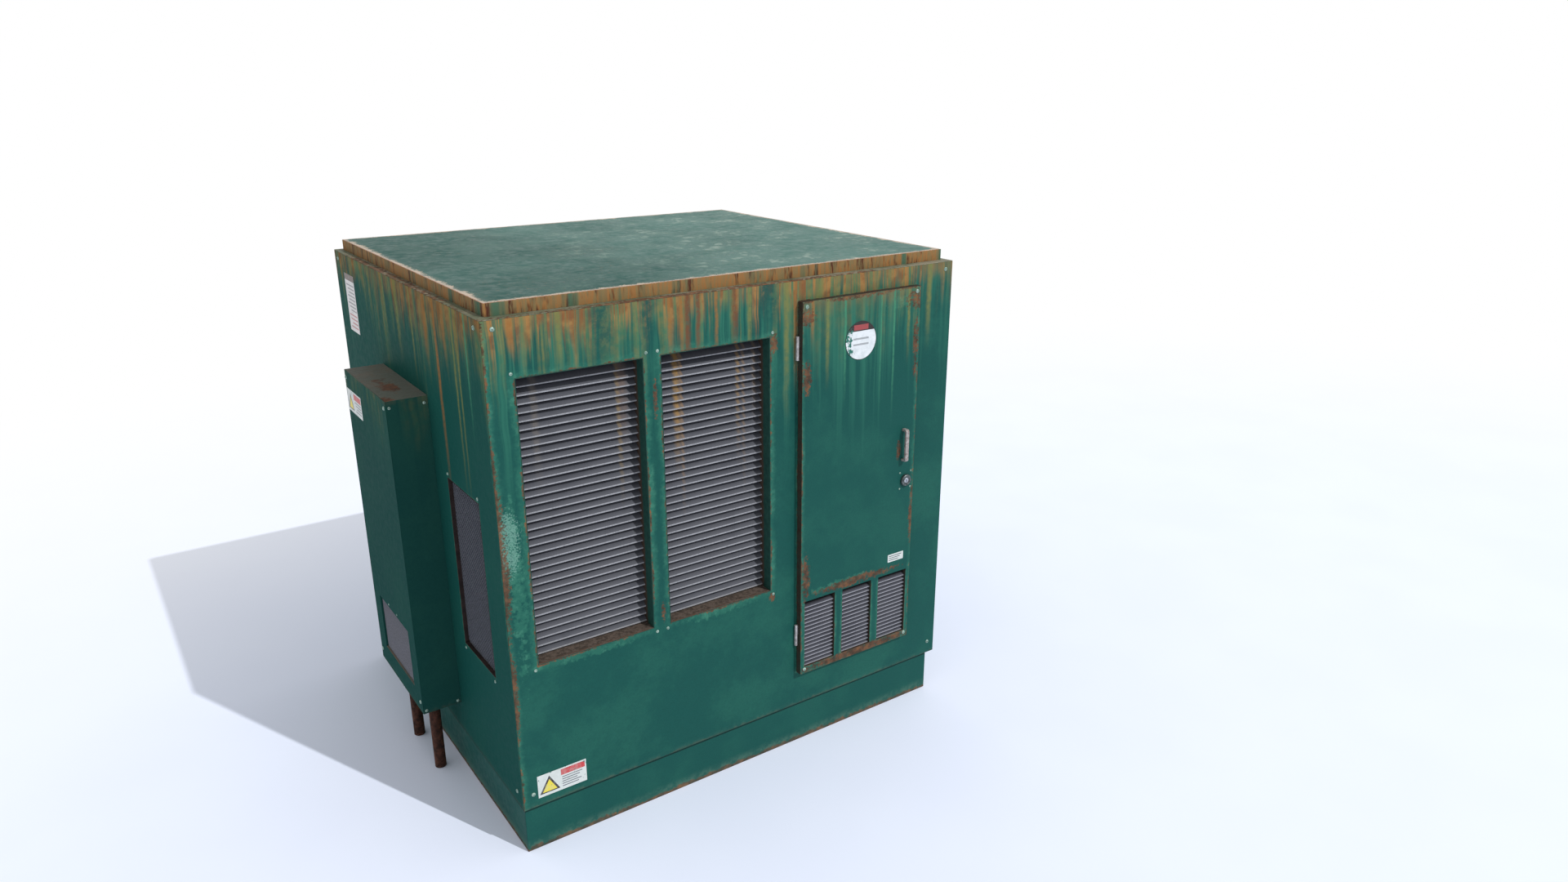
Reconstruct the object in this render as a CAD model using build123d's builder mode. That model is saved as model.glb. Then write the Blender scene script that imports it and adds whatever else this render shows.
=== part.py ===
"""Pad-mounted dry-type transformer in a louvred steel housing, with a side cabinet.

Millimetres. The origin is on the ground, at the centre of the anchor bolts, which is also the
centre of the housing. +X runs to the right along the front, +Y to the back and +Z up.
"""
import os
from math import acos, cos, pi, radians, sin, sqrt, tan

from build123d import *

os.makedirs("parts", exist_ok=True)

# ---- Driving dimensions ------------------------------------------------------------------------

# Housing
BODY_WIDTH = 2100
BODY_DEPTH = 1850
PLINTH_HEIGHT = 190
BODY_TOP = 2090
SHEET = 3
ROOF_HEIGHT = 46
ROOF_INSET_FRONT = 45
ROOF_INSET_LEFT = 33
ROOF_INSET_RIGHT = 30
ROOF_INSET_BACK = 33
POST_LEG = 45
POST_WALL = 4

# Plinth
PLINTH_INSET = 3
PLINTH_INSET_RIGHT = 46
PLINTH_WALL = 6
PLINTH_FLANGE = 110
ANCHOR_INSET_X = 90
ANCHOR_INSET_Y = 65
ANCHOR_HOLE_RADIUS = 9
FLOOR_THICKNESS = 4
CABLE_ENTRY = (460, 260)
CABLE_ENTRY_FROM_FRONT = 430

# Front louvres, measured from the left edge and the top of the housing
LOUVRE_WIDTH = 484
LOUVRE_BOTTOM = 788
LOUVRE_TOP_MARGIN = 209
LOUVRE_LEFT_MARGIN = 103
LOUVRE_GAP = 71
LOUVRE_COUNT = 2
LOUVRE_RECESS = 60
LOUVRE_FRAME_DEPTH = 108
LOUVRE_FLANGE = 26
LOUVRE_WALL = 2.5
BLADE_PITCH = 31.3
BLADE_FIRST = 9
BLADE_LAST = 8
BLADE_DEPTH = 36
BLADE_RISE = 34
BLADE_LIP = 5
BLADE_SHEET = 1.5

# Mesh vent on the left side, measured from the front
VENT_FROM_FRONT = 180
VENT_WIDTH = 332
VENT_BOTTOM = 680
VENT_HEIGHT = 712
VENT_RECESS = 16
MESH_SHEET = 2

# Door, measured from the left edge and the top of the housing
DOOR_LEFT = 1275.5
DOOR_WIDTH = 618
DOOR_BOTTOM = 354
DOOR_TOP_MARGIN = 82
DOOR_PROUD = 32
DOOR_SHEET = 2.5
DOOR_GAP = 3
DOOR_LIP = 18
DOOR_OVERLAP = 22
GASKET_WIDTH = 12
GASKET_CLEARANCE = 0.3
DOOR_LOUVRE_COUNT = 3
DOOR_LOUVRE_HEIGHT = 316
DOOR_LOUVRE_RISE = 33
DOOR_LOUVRE_SIDE = 22
DOOR_LOUVRE_GAP = 42.5
DOOR_LOUVRE_RECESS = 10
DOOR_BLADE_PITCH = 18.6
DOOR_BLADE_DEPTH = 14
DOOR_BLADE_RISE = 16
DOOR_BLADE_LIP = 3

# Hinges
HINGE_RADIUS = 7
HINGE_LENGTH = 98
HINGE_FROM_ENDS = 188
HINGE_GAP = 0.5
HINGE_STANDOFF = 9
HINGE_PIN_RADIUS = 3.5
RUNNING_CLEARANCE = 0.05

# Pull handle and lock, measured from the right edge of the door
HANDLE_FROM_EDGE = 68.5
HANDLE_BOTTOM = 1241
HANDLE_LENGTH = 148
HANDLE_STANDOFF = 30
HANDLE_WIDTH = 18
HANDLE_THICKNESS = 10
LOCK_FROM_EDGE = 48.5
LOCK_Z = 1145
LOCK_RADIUS = 26.5
LOCK_PROUD = 13
LOCK_NECK_RADIUS = 18
CYLINDER_RADIUS = 12
CYLINDER_RECESS = 2
PINION_MODULE = 1.5
PINION_TEETH = 16
RACK_TEETH = 12
PRESSURE_ANGLE = radians(20)
BACKLASH = 0.3
BOLT_THICKNESS = 8
BOLT_HEIGHT = 16
BOLT_BEHIND_PANEL = 2.5
LOCK_SCREW_SPACING_X = 62
LOCK_SCREW_SPACING_Z = 75

# Side cabinet, measured from the front of the housing
CABINET_FROM_FRONT = 657
CABINET_WIDTH = 583
CABINET_BOTTOM = 327
CABINET_HEIGHT = 1356
CABINET_DEPTH = 160
CABINET_SHEET = 2.5
CABINET_LIP = 18
GRILLE_FROM_FRONT = 744
GRILLE_WIDTH = 407
GRILLE_BOTTOM = 418
GRILLE_HEIGHT = 259
GRILLE_RECESS = 9
CONDUITS_FROM_FRONT = (745, 1037)
CONDUIT_RADIUS = 22
CONDUIT_BORE = 18
CONDUIT_STANDOFF = 92
CONDUIT_HUB_DROP = 27
CONDUIT_HUB_WALL = 2
CONDUIT_STUB = 24

# Signs
SIGN_SHEET = 1
ROUND_SIGN_RADIUS = 81.5
ROUND_SIGN_FROM_HINGE_EDGE = 296.5
ROUND_SIGN_BELOW_TOP = 192
DOOR_PLATE = (91, 37)
DOOR_PLATE_FROM_EDGE = 42.5
DOOR_PLATE_RISE = 408
FRONT_LABEL = (202, 97)
FRONT_LABEL_FROM_LEFT = 60
FRONT_LABEL_RISE = 34
SIDE_LABEL = (149, 261)
SIDE_LABEL_FROM_FRONT = 1568
SIDE_LABEL_BELOW_TOP = 86
CABINET_LABEL = (206, 96)
CABINET_LABEL_FROM_BACK = 10
CABINET_LABEL_BELOW_TOP = 75

# Fasteners: head radius, head height, shank radius
SCREW_LARGE = (8.5, 5, 5)
SCREW_MEDIUM = (6.5, 4, 4)
SCREW_SMALL = (4.5, 3, 2.5)
HOLE_CLEARANCE = 0.4

# Transformer
CORE_FROM_LEFT = 620
LIMB_WIDTH = 170
LIMB_PITCH = 460
YOKE_HEIGHT = 170
WINDOW_HEIGHT = 760
CORE_STACK = 170
RAIL_HEIGHT = 100
RAIL_LENGTH = 700
LV_WINDING = (126, 152, 700)
HV_WINDING = (172, 218, 660)
CLAMP_HEIGHT = 140
CLAMP_DEPTH = 50
CLAMP_WALL = 8
CLAMP_OVERHANG = 90
BLOCK_SIZE = 60
BLOCK_OFFSET = 75

# Switchgear compartment
PARTITION_BEFORE_DOOR = 50.5
GEAR_FROM_FRONT = 600
GEAR_SHEET = 4
GEAR_BELOW_TOP = 190
BREAKER = (210, 400, 120)
BREAKER_BOTTOM = 1150
TOGGLE_RADIUS = 20
TOGGLE_WIDTH = 40
TOGGLE_LENGTH = 62
TOGGLE_TILT = 22.5
BUSBAR = (50, 10)
BUSBAR_SPACING = 70
BUSBAR_LENGTH = 240
BUSBAR_HOLE_RADIUS = 7
BUSBAR_HOLE_SPACING = 45
BUSHING_RADIUS = 45
BUSHING_LENGTH = 150
BUSHING_SPACING = 160
BUSHING_HEIGHT = 700
BUSHING_TIP_RADIUS = 16
EARTH_BAR = (420, 40, 8)
EARTH_BAR_HEIGHT = 340
EARTH_STANDOFF = 40

# ---- Places worked out from the driving dimensions ---------------------------------------------

LEFT, RIGHT = -BODY_WIDTH / 2, BODY_WIDTH / 2
FRONT, BACK = -BODY_DEPTH / 2, BODY_DEPTH / 2
INNER_TOP = BODY_TOP - SHEET
FLOOR_TOP = PLINTH_HEIGHT + FLOOR_THICKNESS
LOUVRE_TOP = BODY_TOP - LOUVRE_TOP_MARGIN
LOUVRE_HEIGHT = LOUVRE_TOP - LOUVRE_BOTTOM
LOUVRE_LEFTS = [LOUVRE_LEFT_MARGIN + index * (LOUVRE_WIDTH + LOUVRE_GAP) for index in range(LOUVRE_COUNT)]

DOOR_X = (LEFT + DOOR_LEFT, LEFT + DOOR_LEFT + DOOR_WIDTH)
DOOR_Z = (DOOR_BOTTOM, BODY_TOP - DOOR_TOP_MARGIN)
DOOR_FACE = FRONT - DOOR_PROUD
DOOR_BACK = FRONT - DOOR_GAP
DOORWAY_X = (DOOR_X[0] + DOOR_OVERLAP, DOOR_X[1] - DOOR_OVERLAP)
DOORWAY_Z = (DOOR_Z[0] + DOOR_OVERLAP, DOOR_Z[1] - DOOR_OVERLAP)
HINGE_X = DOOR_X[0] - HINGE_GAP - HINGE_RADIUS
HINGE_Y = FRONT - HINGE_STANDOFF
HINGE_HEIGHTS = (DOOR_Z[0] + HINGE_FROM_ENDS, DOOR_Z[1] - HINGE_FROM_ENDS)
LOCK_CENTRE = (DOOR_X[1] - LOCK_FROM_EDGE, LOCK_Z)

VENT_Y = (FRONT + VENT_FROM_FRONT, FRONT + VENT_FROM_FRONT + VENT_WIDTH)
VENT_Z = (VENT_BOTTOM, VENT_BOTTOM + VENT_HEIGHT)
CABINET_Y = (FRONT + CABINET_FROM_FRONT, FRONT + CABINET_FROM_FRONT + CABINET_WIDTH)
CABINET_Z = (CABINET_BOTTOM, CABINET_BOTTOM + CABINET_HEIGHT)
CABINET_FACE = LEFT - CABINET_DEPTH
GRILLE_Y = (FRONT + GRILLE_FROM_FRONT, FRONT + GRILLE_FROM_FRONT + GRILLE_WIDTH)
GRILLE_Z = (GRILLE_BOTTOM, GRILLE_BOTTOM + GRILLE_HEIGHT)
CONDUIT_X = LEFT - CONDUIT_STANDOFF
CONDUIT_YS = [FRONT + distance for distance in CONDUITS_FROM_FRONT]
CONDUIT_HUB_RADIUS = CONDUIT_RADIUS + CONDUIT_HUB_WALL
CONDUIT_FREE_LENGTH = CABINET_BOTTOM - CONDUIT_HUB_DROP

PARTITION_X = DOOR_X[0] - PARTITION_BEFORE_DOOR
GEAR_Y = FRONT + GEAR_FROM_FRONT
GEAR_X = (DOORWAY_X[0] + DOORWAY_X[1]) / 2

# Screw centres, as (x, z) on the front and back and (y, z) on the sides
CORNER_INSET_X, CORNER_INSET_Z = 41, 33
CORNER_LOW = 60
SIDE_CORNER_INSET = 57
LOUVRE_SCREW_RISE = 17
LOUVRE_SCREW_SIDE = 12
DOOR_SCREW_INSET = 21
VENT_SCREW_RISE = 17
VENT_SCREW_SIDE = -8
CORNER_HEIGHTS = (PLINTH_HEIGHT + CORNER_LOW, BODY_TOP - CORNER_INSET_Z)
FRONT_CORNERS = [(x, z) for x in (LEFT + CORNER_INSET_X, RIGHT - CORNER_INSET_X)
                 for z in CORNER_HEIGHTS]
SIDE_CORNERS = [(y, z) for y in (FRONT + SIDE_CORNER_INSET, BACK - SIDE_CORNER_INSET)
                for z in CORNER_HEIGHTS]
LOUVRE_SCREWS = [
    (x, z)
    for left in LOUVRE_LEFTS
    for x in (LEFT + left - LOUVRE_SCREW_SIDE, LEFT + left + LOUVRE_WIDTH + LOUVRE_SCREW_SIDE)
    for z in (LOUVRE_BOTTOM - LOUVRE_SCREW_RISE, LOUVRE_TOP + LOUVRE_SCREW_RISE)
]
VENT_SCREWS = [
    (y, z)
    for y in (VENT_Y[0] - VENT_SCREW_SIDE, VENT_Y[1] + VENT_SCREW_SIDE)
    for z in (VENT_Z[0] - VENT_SCREW_RISE, VENT_Z[1] + VENT_SCREW_RISE)
]


# ---- Helpers -----------------------------------------------------------------------------------

SOCKET_SHARE_OF_HEIGHT = 0.55
SOCKET_SHARE_OF_RADIUS = 0.4


def block(x, y, z, mode=Mode.ADD):
    """A box that spans the given (low, high) pairs, in the builder that is open."""
    with Locations((sum(x) / 2, sum(y) / 2, sum(z) / 2)):
        Box(x[1] - x[0], y[1] - y[0], z[1] - z[0], mode=mode)


def round_bar(radius, centre, axis, low, high, mode=Mode.ADD):
    """A cylinder along one row axis, from low to high, with its other two coordinates in centre."""
    middle = (low + high) / 2
    place = {
        "X": (middle, centre[0], centre[1]),
        "Y": (centre[0], middle, centre[1]),
        "Z": (centre[0], centre[1], middle),
    }[axis]
    with Locations(Location(place, {"X": (0, 90, 0), "Y": (90, 0, 0), "Z": (0, 0, 0)}[axis])):
        Cylinder(radius, high - low, mode=mode)


def screws(size, centres, face, outward, grip):
    """Button-head screws whose heads sit on a face. outward is (axis, sign)."""
    head_radius, head_height, shank_radius = size
    axis, sign = outward
    for u, v in centres:
        head_end = face + sign * head_height
        shank_end = face - sign * grip
        round_bar(head_radius, (u, v), axis, *sorted((face, head_end)))
        round_bar(shank_radius, (u, v), axis, *sorted((shank_end, face)))
        socket_start = face + sign * head_height * (1 - SOCKET_SHARE_OF_HEIGHT)
        round_bar(head_radius * SOCKET_SHARE_OF_RADIUS, (u, v), axis, *sorted((socket_start, head_end)),
                  mode=Mode.SUBTRACT)


def holes(size, centres, axis, low, high):
    """Clearance holes for screws of one size."""
    for centre in centres:
        round_bar(size[2] + HOLE_CLEARANCE, centre, axis, low, high, mode=Mode.SUBTRACT)


def frame_ring(outer_x, outer_z, inner_x, inner_z, plane, thickness):
    """A flat rectangular ring on a plane, made to a thickness along the plane's normal."""
    with BuildSketch(plane) as ring:
        with Locations((sum(outer_x) / 2, sum(outer_z) / 2)):
            Rectangle(outer_x[1] - outer_x[0], outer_z[1] - outer_z[0])
        with Locations((sum(inner_x) / 2, sum(inner_z) / 2)):
            Rectangle(inner_x[1] - inner_x[0], inner_z[1] - inner_z[0], mode=Mode.SUBTRACT)
    extrude(ring.sketch, amount=thickness)


def span_from(start, length):
    """A (low, high) pair from one end and a length, which may run either way."""
    return tuple(sorted((start, start + length)))


def around(middle, half):
    """A (low, high) pair from a middle and half a length."""
    return (middle - half, middle + half)


def wider(span, margin):
    """A (low, high) pair grown by a margin at each end."""
    return (span[0] - margin, span[1] + margin)


def blades(x, front, bottoms, depth, rise, lip):
    """Louvre blades that run along X: a short upright lip, then a slope up to the inside."""
    for bottom in bottoms:
        with BuildSketch(Plane.YZ.offset(x[0])) as section:
            with BuildLine():
                Polyline(
                    (front, bottom),
                    (front, bottom + lip),
                    (front + depth, bottom + lip + rise),
                    (front + depth, bottom + lip + rise - BLADE_SHEET * sqrt(2)),
                    (front + BLADE_SHEET, bottom + lip - BLADE_SHEET * (sqrt(2) - 1)),
                    (front + BLADE_SHEET, bottom),
                    close=True,
                )
            make_face()
        extrude(section.sketch, amount=x[1] - x[0])


def write_step(builder, label):
    """Label one finished sub-part and write its STEP file."""
    builder.part.label = label
    export_step(builder.part, f"parts/{label}.step")


# ---- Plinth and floor --------------------------------------------------------------------------

PLINTH_X = (LEFT + PLINTH_INSET, RIGHT - PLINTH_INSET_RIGHT)
PLINTH_Y = (FRONT + PLINTH_INSET, BACK - PLINTH_INSET)
ANCHORS = [(x, y) for x in (LEFT + ANCHOR_INSET_X, RIGHT - ANCHOR_INSET_X)
           for y in (FRONT + ANCHOR_INSET_Y, BACK - ANCHOR_INSET_Y)]

with BuildPart() as plinth_long_beams:
    for outer, sign in ((PLINTH_Y[0], 1), (PLINTH_Y[1], -1)):
        web = sorted((outer, outer + sign * PLINTH_WALL))
        flange = sorted((outer, outer + sign * PLINTH_FLANGE))
        block(PLINTH_X, web, (0, PLINTH_HEIGHT))
        block(PLINTH_X, flange, (0, PLINTH_WALL))
        block(PLINTH_X, flange, (PLINTH_HEIGHT - PLINTH_WALL, PLINTH_HEIGHT))
    for x, y in ANCHORS:
        round_bar(ANCHOR_HOLE_RADIUS, (x, y), "Z", 0, PLINTH_WALL, mode=Mode.SUBTRACT)
write_step(plinth_long_beams, "plinth_long_beams")

with BuildPart() as plinth_end_beams:
    inner_y = wider(PLINTH_Y, -PLINTH_FLANGE)
    for outer, sign in ((PLINTH_X[0], 1), (PLINTH_X[1], -1)):
        web = sorted((outer, outer + sign * PLINTH_WALL))
        flange = sorted((outer, outer + sign * PLINTH_FLANGE))
        block(web, wider(PLINTH_Y, -PLINTH_WALL), (PLINTH_WALL, PLINTH_HEIGHT - PLINTH_WALL))
        block(web, inner_y, (0, PLINTH_HEIGHT))
        block(flange, inner_y, (0, PLINTH_WALL))
        block(flange, inner_y, (PLINTH_HEIGHT - PLINTH_WALL, PLINTH_HEIGHT))
write_step(plinth_end_beams, "plinth_end_beams")

INSIDE_X = (LEFT + SHEET, RIGHT - SHEET)
INSIDE_Y = (FRONT + SHEET, BACK - SHEET)
ENTRY_X = (GEAR_X - CABLE_ENTRY[0] / 2, GEAR_X + CABLE_ENTRY[0] / 2)
ENTRY_Y = wider((FRONT + CABLE_ENTRY_FROM_FRONT, FRONT + CABLE_ENTRY_FROM_FRONT), CABLE_ENTRY[1] / 2)

with BuildPart() as floor_plate:
    block(INSIDE_X, INSIDE_Y, (PLINTH_HEIGHT, FLOOR_TOP))
    block(ENTRY_X, ENTRY_Y, (PLINTH_HEIGHT, FLOOR_TOP), mode=Mode.SUBTRACT)
write_step(floor_plate, "floor_plate")

# ---- Inner frame -------------------------------------------------------------------------------

with BuildPart() as frame_posts:
    for x, x_sign in ((INSIDE_X[0], 1), (INSIDE_X[1], -1)):
        for y, y_sign in ((INSIDE_Y[0], 1), (INSIDE_Y[1], -1)):
            leg_x = sorted((x, x + x_sign * POST_LEG))
            leg_y = sorted((y, y + y_sign * (POST_LEG + SIDE_CORNER_INSET - CORNER_INSET_X)))
            height = (FLOOR_TOP, INNER_TOP)
            block(leg_x, sorted((y, y + y_sign * POST_WALL)), height)
            block(sorted((x, x + x_sign * POST_WALL)), leg_y, height)
    holes(SCREW_LARGE, FRONT_CORNERS, "Y", FRONT, BACK)
    holes(SCREW_LARGE, SIDE_CORNERS, "X", LEFT, RIGHT)
write_step(frame_posts, "frame_posts")

with BuildPart() as top_rails:
    rail_x = wider(INSIDE_X, -POST_LEG)
    rail_y = wider(INSIDE_Y, -(POST_LEG + SIDE_CORNER_INSET - CORNER_INSET_X))
    rail_z = (INNER_TOP - POST_LEG, INNER_TOP)
    for y, y_sign in ((INSIDE_Y[0], 1), (INSIDE_Y[1], -1)):
        block(rail_x, sorted((y, y + y_sign * POST_WALL)), rail_z)
        block(rail_x, sorted((y, y + y_sign * POST_LEG)), (INNER_TOP - POST_WALL, INNER_TOP))
    for x, x_sign in ((INSIDE_X[0], 1), (INSIDE_X[1], -1)):
        block(sorted((x, x + x_sign * POST_WALL)), rail_y, rail_z)
        block(sorted((x, x + x_sign * POST_LEG)), rail_y, (INNER_TOP - POST_WALL, INNER_TOP))
write_step(top_rails, "top_rails")

# ---- Housing panels ----------------------------------------------------------------------------

PANEL_Z = (PLINTH_HEIGHT, INNER_TOP)
FRONT_PLANE = Plane.XZ.offset(-FRONT)
LEFT_PLANE = Plane.YZ.offset(LEFT)

with BuildPart() as front_panel:
    with BuildSketch(FRONT_PLANE):
        with Locations((0, sum(PANEL_Z) / 2)):
            Rectangle(BODY_WIDTH, PANEL_Z[1] - PANEL_Z[0])
        for louvre_left in LOUVRE_LEFTS:
            with Locations((LEFT + louvre_left + LOUVRE_WIDTH / 2, LOUVRE_BOTTOM + LOUVRE_HEIGHT / 2)):
                Rectangle(LOUVRE_WIDTH, LOUVRE_HEIGHT, mode=Mode.SUBTRACT)
        with Locations((sum(DOORWAY_X) / 2, sum(DOORWAY_Z) / 2)):
            Rectangle(DOORWAY_X[1] - DOORWAY_X[0], DOORWAY_Z[1] - DOORWAY_Z[0], mode=Mode.SUBTRACT)
        with Locations(*FRONT_CORNERS):
            Circle(SCREW_LARGE[2] + HOLE_CLEARANCE, mode=Mode.SUBTRACT)
        with Locations(*LOUVRE_SCREWS):
            Circle(SCREW_MEDIUM[2] + HOLE_CLEARANCE, mode=Mode.SUBTRACT)
    extrude(amount=-SHEET)
write_step(front_panel, "front_panel")

with BuildPart() as rear_panel:
    with BuildSketch(Plane.XZ.offset(-BACK)):
        with Locations((0, sum(PANEL_Z) / 2)):
            Rectangle(BODY_WIDTH, PANEL_Z[1] - PANEL_Z[0])
        with Locations(*FRONT_CORNERS):
            Circle(SCREW_LARGE[2] + HOLE_CLEARANCE, mode=Mode.SUBTRACT)
    extrude(amount=SHEET)
write_step(rear_panel, "rear_panel")

with BuildPart() as left_panel:
    with BuildSketch(LEFT_PLANE):
        with Locations((0, sum(PANEL_Z) / 2)):
            Rectangle(BODY_DEPTH - 2 * SHEET, PANEL_Z[1] - PANEL_Z[0])
        with Locations((sum(VENT_Y) / 2, sum(VENT_Z) / 2)):
            Rectangle(VENT_WIDTH, VENT_HEIGHT, mode=Mode.SUBTRACT)
        with Locations(*SIDE_CORNERS):
            Circle(SCREW_LARGE[2] + HOLE_CLEARANCE, mode=Mode.SUBTRACT)
        with Locations(*VENT_SCREWS):
            Circle(SCREW_MEDIUM[2] + HOLE_CLEARANCE, mode=Mode.SUBTRACT)
    extrude(amount=SHEET)
write_step(left_panel, "left_panel")

with BuildPart() as right_panel:
    with BuildSketch(Plane.YZ.offset(RIGHT)):
        with Locations((0, sum(PANEL_Z) / 2)):
            Rectangle(BODY_DEPTH - 2 * SHEET, PANEL_Z[1] - PANEL_Z[0])
        with Locations(*SIDE_CORNERS):
            Circle(SCREW_LARGE[2] + HOLE_CLEARANCE, mode=Mode.SUBTRACT)
    extrude(amount=-SHEET)
write_step(right_panel, "right_panel")

with BuildPart() as roof_deck:
    block((LEFT, RIGHT), (FRONT, BACK), (INNER_TOP, BODY_TOP))
write_step(roof_deck, "roof_deck")

ROOF_X = (LEFT + ROOF_INSET_LEFT, RIGHT - ROOF_INSET_RIGHT)
ROOF_Y = (FRONT + ROOF_INSET_FRONT, BACK - ROOF_INSET_BACK)
with BuildPart() as roof_cap:
    block(ROOF_X, ROOF_Y, (BODY_TOP, BODY_TOP + ROOF_HEIGHT))
    fillet(roof_cap.edges().group_by(Axis.Z)[-1], SHEET)
    block(wider(ROOF_X, -SHEET), wider(ROOF_Y, -SHEET), (BODY_TOP, BODY_TOP + ROOF_HEIGHT - SHEET),
          mode=Mode.SUBTRACT)
write_step(roof_cap, "roof_cap")

GRIP = SHEET + POST_WALL
with BuildPart() as panel_screws:
    screws(SCREW_LARGE, FRONT_CORNERS, FRONT, ("Y", -1), GRIP)
    screws(SCREW_LARGE, FRONT_CORNERS, BACK, ("Y", 1), GRIP)
    screws(SCREW_LARGE, SIDE_CORNERS, LEFT, ("X", -1), GRIP)
    screws(SCREW_LARGE, SIDE_CORNERS, RIGHT, ("X", 1), GRIP)
write_step(panel_screws, "panel_screws")

# ---- Front louvres -----------------------------------------------------------------------------

LOUVRE_Z = (LOUVRE_BOTTOM, LOUVRE_TOP)
BLADE_RUN = LOUVRE_HEIGHT - BLADE_FIRST - BLADE_LAST - BLADE_RISE - BLADE_LIP
BLADE_COUNT = int(BLADE_RUN / BLADE_PITCH) + 1
BLADE_BOTTOMS = [LOUVRE_BOTTOM + BLADE_FIRST + row * BLADE_PITCH for row in range(BLADE_COUNT)]
for side, louvre_left in zip(("left", "right"), LOUVRE_LEFTS):
    opening_x = (LEFT + louvre_left, LEFT + louvre_left + LOUVRE_WIDTH)
    with BuildPart() as louvre_frame:
        frame_ring(opening_x, LOUVRE_Z, wider(opening_x, -LOUVRE_WALL), wider(LOUVRE_Z, -LOUVRE_WALL),
                   FRONT_PLANE, -LOUVRE_FRAME_DEPTH)
        frame_ring(wider(opening_x, LOUVRE_FLANGE), wider(LOUVRE_Z, LOUVRE_FLANGE),
                   wider(opening_x, -LOUVRE_WALL), wider(LOUVRE_Z, -LOUVRE_WALL),
                   Plane.XZ.offset(-FRONT - SHEET), -LOUVRE_WALL)
        holes(SCREW_MEDIUM, LOUVRE_SCREWS, "Y", FRONT, FRONT + 2 * SHEET)
    write_step(louvre_frame, f"louvre_frame_{side}")

    with BuildPart() as louvre_blades:
        blades(wider(opening_x, -LOUVRE_WALL), FRONT + LOUVRE_RECESS, BLADE_BOTTOMS,
               BLADE_DEPTH, BLADE_RISE, BLADE_LIP)
    write_step(louvre_blades, f"louvre_blades_{side}")

with BuildPart() as louvre_screws:
    screws(SCREW_MEDIUM, LOUVRE_SCREWS, FRONT, ("Y", -1), SHEET + LOUVRE_WALL)
    screws(SCREW_MEDIUM, VENT_SCREWS, LEFT, ("X", -1), SHEET + LOUVRE_WALL)
write_step(louvre_screws, "louvre_screws")

# ---- Mesh vent on the left side ----------------------------------------------------------------

with BuildPart() as vent_frame:
    frame_ring(VENT_Y, VENT_Z, wider(VENT_Y, -LOUVRE_WALL), wider(VENT_Z, -LOUVRE_WALL),
               LEFT_PLANE, VENT_RECESS)
    frame_ring(wider(VENT_Y, LOUVRE_FLANGE), wider(VENT_Z, LOUVRE_FLANGE),
               wider(VENT_Y, -LOUVRE_WALL), wider(VENT_Z, -LOUVRE_WALL),
               Plane.YZ.offset(LEFT + SHEET), LOUVRE_WALL)
    holes(SCREW_MEDIUM, VENT_SCREWS, "X", LEFT, LEFT + 2 * SHEET)
write_step(vent_frame, "vent_frame")

with BuildPart() as vent_mesh:
    block((LEFT + VENT_RECESS, LEFT + VENT_RECESS + MESH_SHEET), VENT_Y, VENT_Z)
write_step(vent_mesh, "vent_mesh")

# ---- Side cabinet ------------------------------------------------------------------------------

COVER_BACK = CABINET_FACE + CABINET_SHEET
COVER_SCREW_INSET = 20
COVER_SCREW_TOP = 30
COVER_SCREW_BOTTOM = 50
COVER_SCREWS = [(y, z) for y in wider(CABINET_Y, -COVER_SCREW_INSET)
                for z in (CABINET_Z[0] + COVER_SCREW_BOTTOM, CABINET_Z[1] - COVER_SCREW_TOP)]
WALL_SCREW_INSET = 14
WALL_SCREW_TOP = 27
WALL_SCREWS = [(x, z) for x in (CABINET_FACE + WALL_SCREW_INSET, LEFT - WALL_SCREW_INSET)
               for z in (CABINET_Z[0] + WALL_SCREW_INSET, CABINET_Z[1] - WALL_SCREW_TOP)]
GRILLE_SCREW_RISE = 12
GRILLE_SCREW_SPACING = 116
GRILLE_SCREWS = [(sum(GRILLE_Y) / 2 + side * GRILLE_SCREW_SPACING / 2, GRILLE_Z[1] + GRILLE_SCREW_RISE)
                 for side in (-1, 1)]
CABINET_INSIDE_Y = wider(CABINET_Y, -CABINET_SHEET)
CABINET_INSIDE_Z = wider(CABINET_Z, -CABINET_SHEET)
CABINET_BACK = LEFT - CABINET_SHEET

with BuildPart() as side_cabinet_shell:
    block((COVER_BACK, LEFT), CABINET_Y, CABINET_Z)
    block((COVER_BACK + CABINET_SHEET, CABINET_BACK), CABINET_INSIDE_Y, CABINET_INSIDE_Z, mode=Mode.SUBTRACT)
    block((COVER_BACK, COVER_BACK + CABINET_SHEET), wider(CABINET_Y, -CABINET_LIP - COVER_SCREW_INSET),
          wider(CABINET_Z, -CABINET_LIP), mode=Mode.SUBTRACT)
    for y in CONDUIT_YS:
        round_bar(CONDUIT_HUB_RADIUS, (CONDUIT_X, y), "Z", *wider((CABINET_Z[0], CABINET_INSIDE_Z[0]), 1),
                  mode=Mode.SUBTRACT)
    holes(SCREW_LARGE, COVER_SCREWS, "X", COVER_BACK, COVER_BACK + CABINET_SHEET)
    holes(SCREW_MEDIUM, WALL_SCREWS, "Y", *CABINET_Y)
write_step(side_cabinet_shell, "side_cabinet_shell")

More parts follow.
